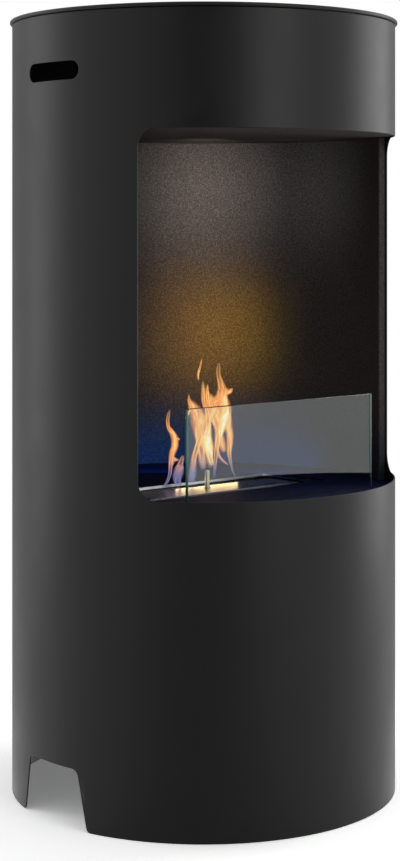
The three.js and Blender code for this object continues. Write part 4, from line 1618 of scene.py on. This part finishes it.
def glow_lamps():
    """The flames' light on the firebox wall and on the burner, and what daylight reaches in."""
    for name, bearing, distance, height, size, power, colour in (
        ("wall_wash", 139, 0.1, 0.79, (0.05, 0.16), 0.11, "#fff4ec"),
        ("flame_glow", 139, 0.12, 0.58, (0.04, 0.14), 0.1, "#ffbe58"),
        ("ember_glow", 124, 0.14, 0.58, (0.04, 0.12), 0.032, "#f0c020"),
        ("room_fill", 100, 0.1, 0.78, (0.05, 0.1), 0.018, "#f4f2ff"),
        ("root_glow", 139, 0.13, 0.396, (0.3, 0.02), 0.14, "#3596ff"),
    ):
        for side in (1, -1):
            wall = at_bearing(math.radians(side * bearing)) * LINER_RADIUS * MM + UP * height
            lamp = area_lamp(name, side * bearing, distance, height, size, power, wall, colour)
            lamp.data.spread = math.radians(100)
            lamp.visible_glossy = False
            lamp.visible_transmission = False
    on_lid = (0.02, -0.03, 0.385)
    core = area_lamp("flame_core", 132, 0.033, 0.395, (0.1, 0.008), 0.01, on_lid, "#ffd8a0")
    core.visible_transmission = False


def photo_camera(scene):
    """The camera of the photograph, fitted to the stove's outlines."""
    data = bpy.data.cameras.new("photo_view")
    data.lens = 79.78
    data.sensor_width = 36
    data.sensor_fit = "AUTO"
    data.shift_x = -0.00429
    data.shift_y = -0.2417
    camera = bpy.data.objects.new("photo_view", data)
    camera.location = (-1.6503, -1.8818, 0.735)
    camera.rotation_euler = (math.radians(90), 0, math.radians(-41.25))
    scene.collection.objects.link(camera)
    scene.camera = camera


class FIREPLACE_OT_stage(bpy.types.Operator):
    """Floor, surroundings, lamps and the camera at the photograph's angle"""

    bl_idname = "fireplace.stage"
    bl_label = "Stage"

    def execute(self, context):
        context.scene.view_settings.view_transform = "Standard"
        stage_floor()
        stage_world(ROOM_LEVEL)
        area_lamp("left_strip", -145, 2.0, 0.9, (1.0, 2.2), 7)
        area_lamp("right_strip", 74, 2.0, 0.9, (1.2, 2.2), 15)
        area_lamp("soft_key", -1, 2.8, 1.2, (1.3, 2.0), 11)
        glow_lamps()
        photo_camera(context.scene)
        return {"FINISHED"}


OPERATORS = (
    FIREPLACE_OT_shell,
    FIREPLACE_OT_lid,
    FIREPLACE_OT_liner,
    FIREPLACE_OT_plates,
    FIREPLACE_OT_pane,
    FIREPLACE_OT_burner_plate,
    FIREPLACE_OT_burner_lid,
    FIREPLACE_OT_rails,
    FIREPLACE_OT_tank,
    FIREPLACE_OT_fittings,
    FIREPLACE_OT_carried_over,
    FIREPLACE_OT_flames,
    FIREPLACE_OT_stage,
)


class FIREPLACE_PT_panel(bpy.types.Panel):
    """Lists the sizes, the colours and the pieces"""

    bl_idname = "FIREPLACE_PT_panel"
    bl_label = "Bioethanol fireplace"
    bl_space_type = "VIEW_3D"
    bl_region_type = "UI"
    bl_category = "Fireplace"

    def draw(self, context):
        for group in (context.scene.fireplace_sizes, context.scene.fireplace_colours):
            for name in group.bl_rna.properties.keys():
                if name not in ("rna_type", "name"):
                    self.layout.prop(group, name)
        for operator in OPERATORS:
            self.layout.operator(operator.bl_idname)


CLASSES = (FireplaceSizes, FireplaceColours, *OPERATORS, FIREPLACE_PT_panel)


def register():
    for item in CLASSES:
        bpy.utils.register_class(item)
    bpy.types.Scene.fireplace_sizes = PointerProperty(type=FireplaceSizes)
    bpy.types.Scene.fireplace_colours = PointerProperty(type=FireplaceColours)


def unregister():
    del bpy.types.Scene.fireplace_colours
    del bpy.types.Scene.fireplace_sizes
    for item in reversed(CLASSES):
        bpy.utils.unregister_class(item)


def main():
    register()
    for operator in OPERATORS:
        getattr(bpy.ops.fireplace, operator.bl_idname.split(".")[1])()


if __name__ == "__main__":
    main()
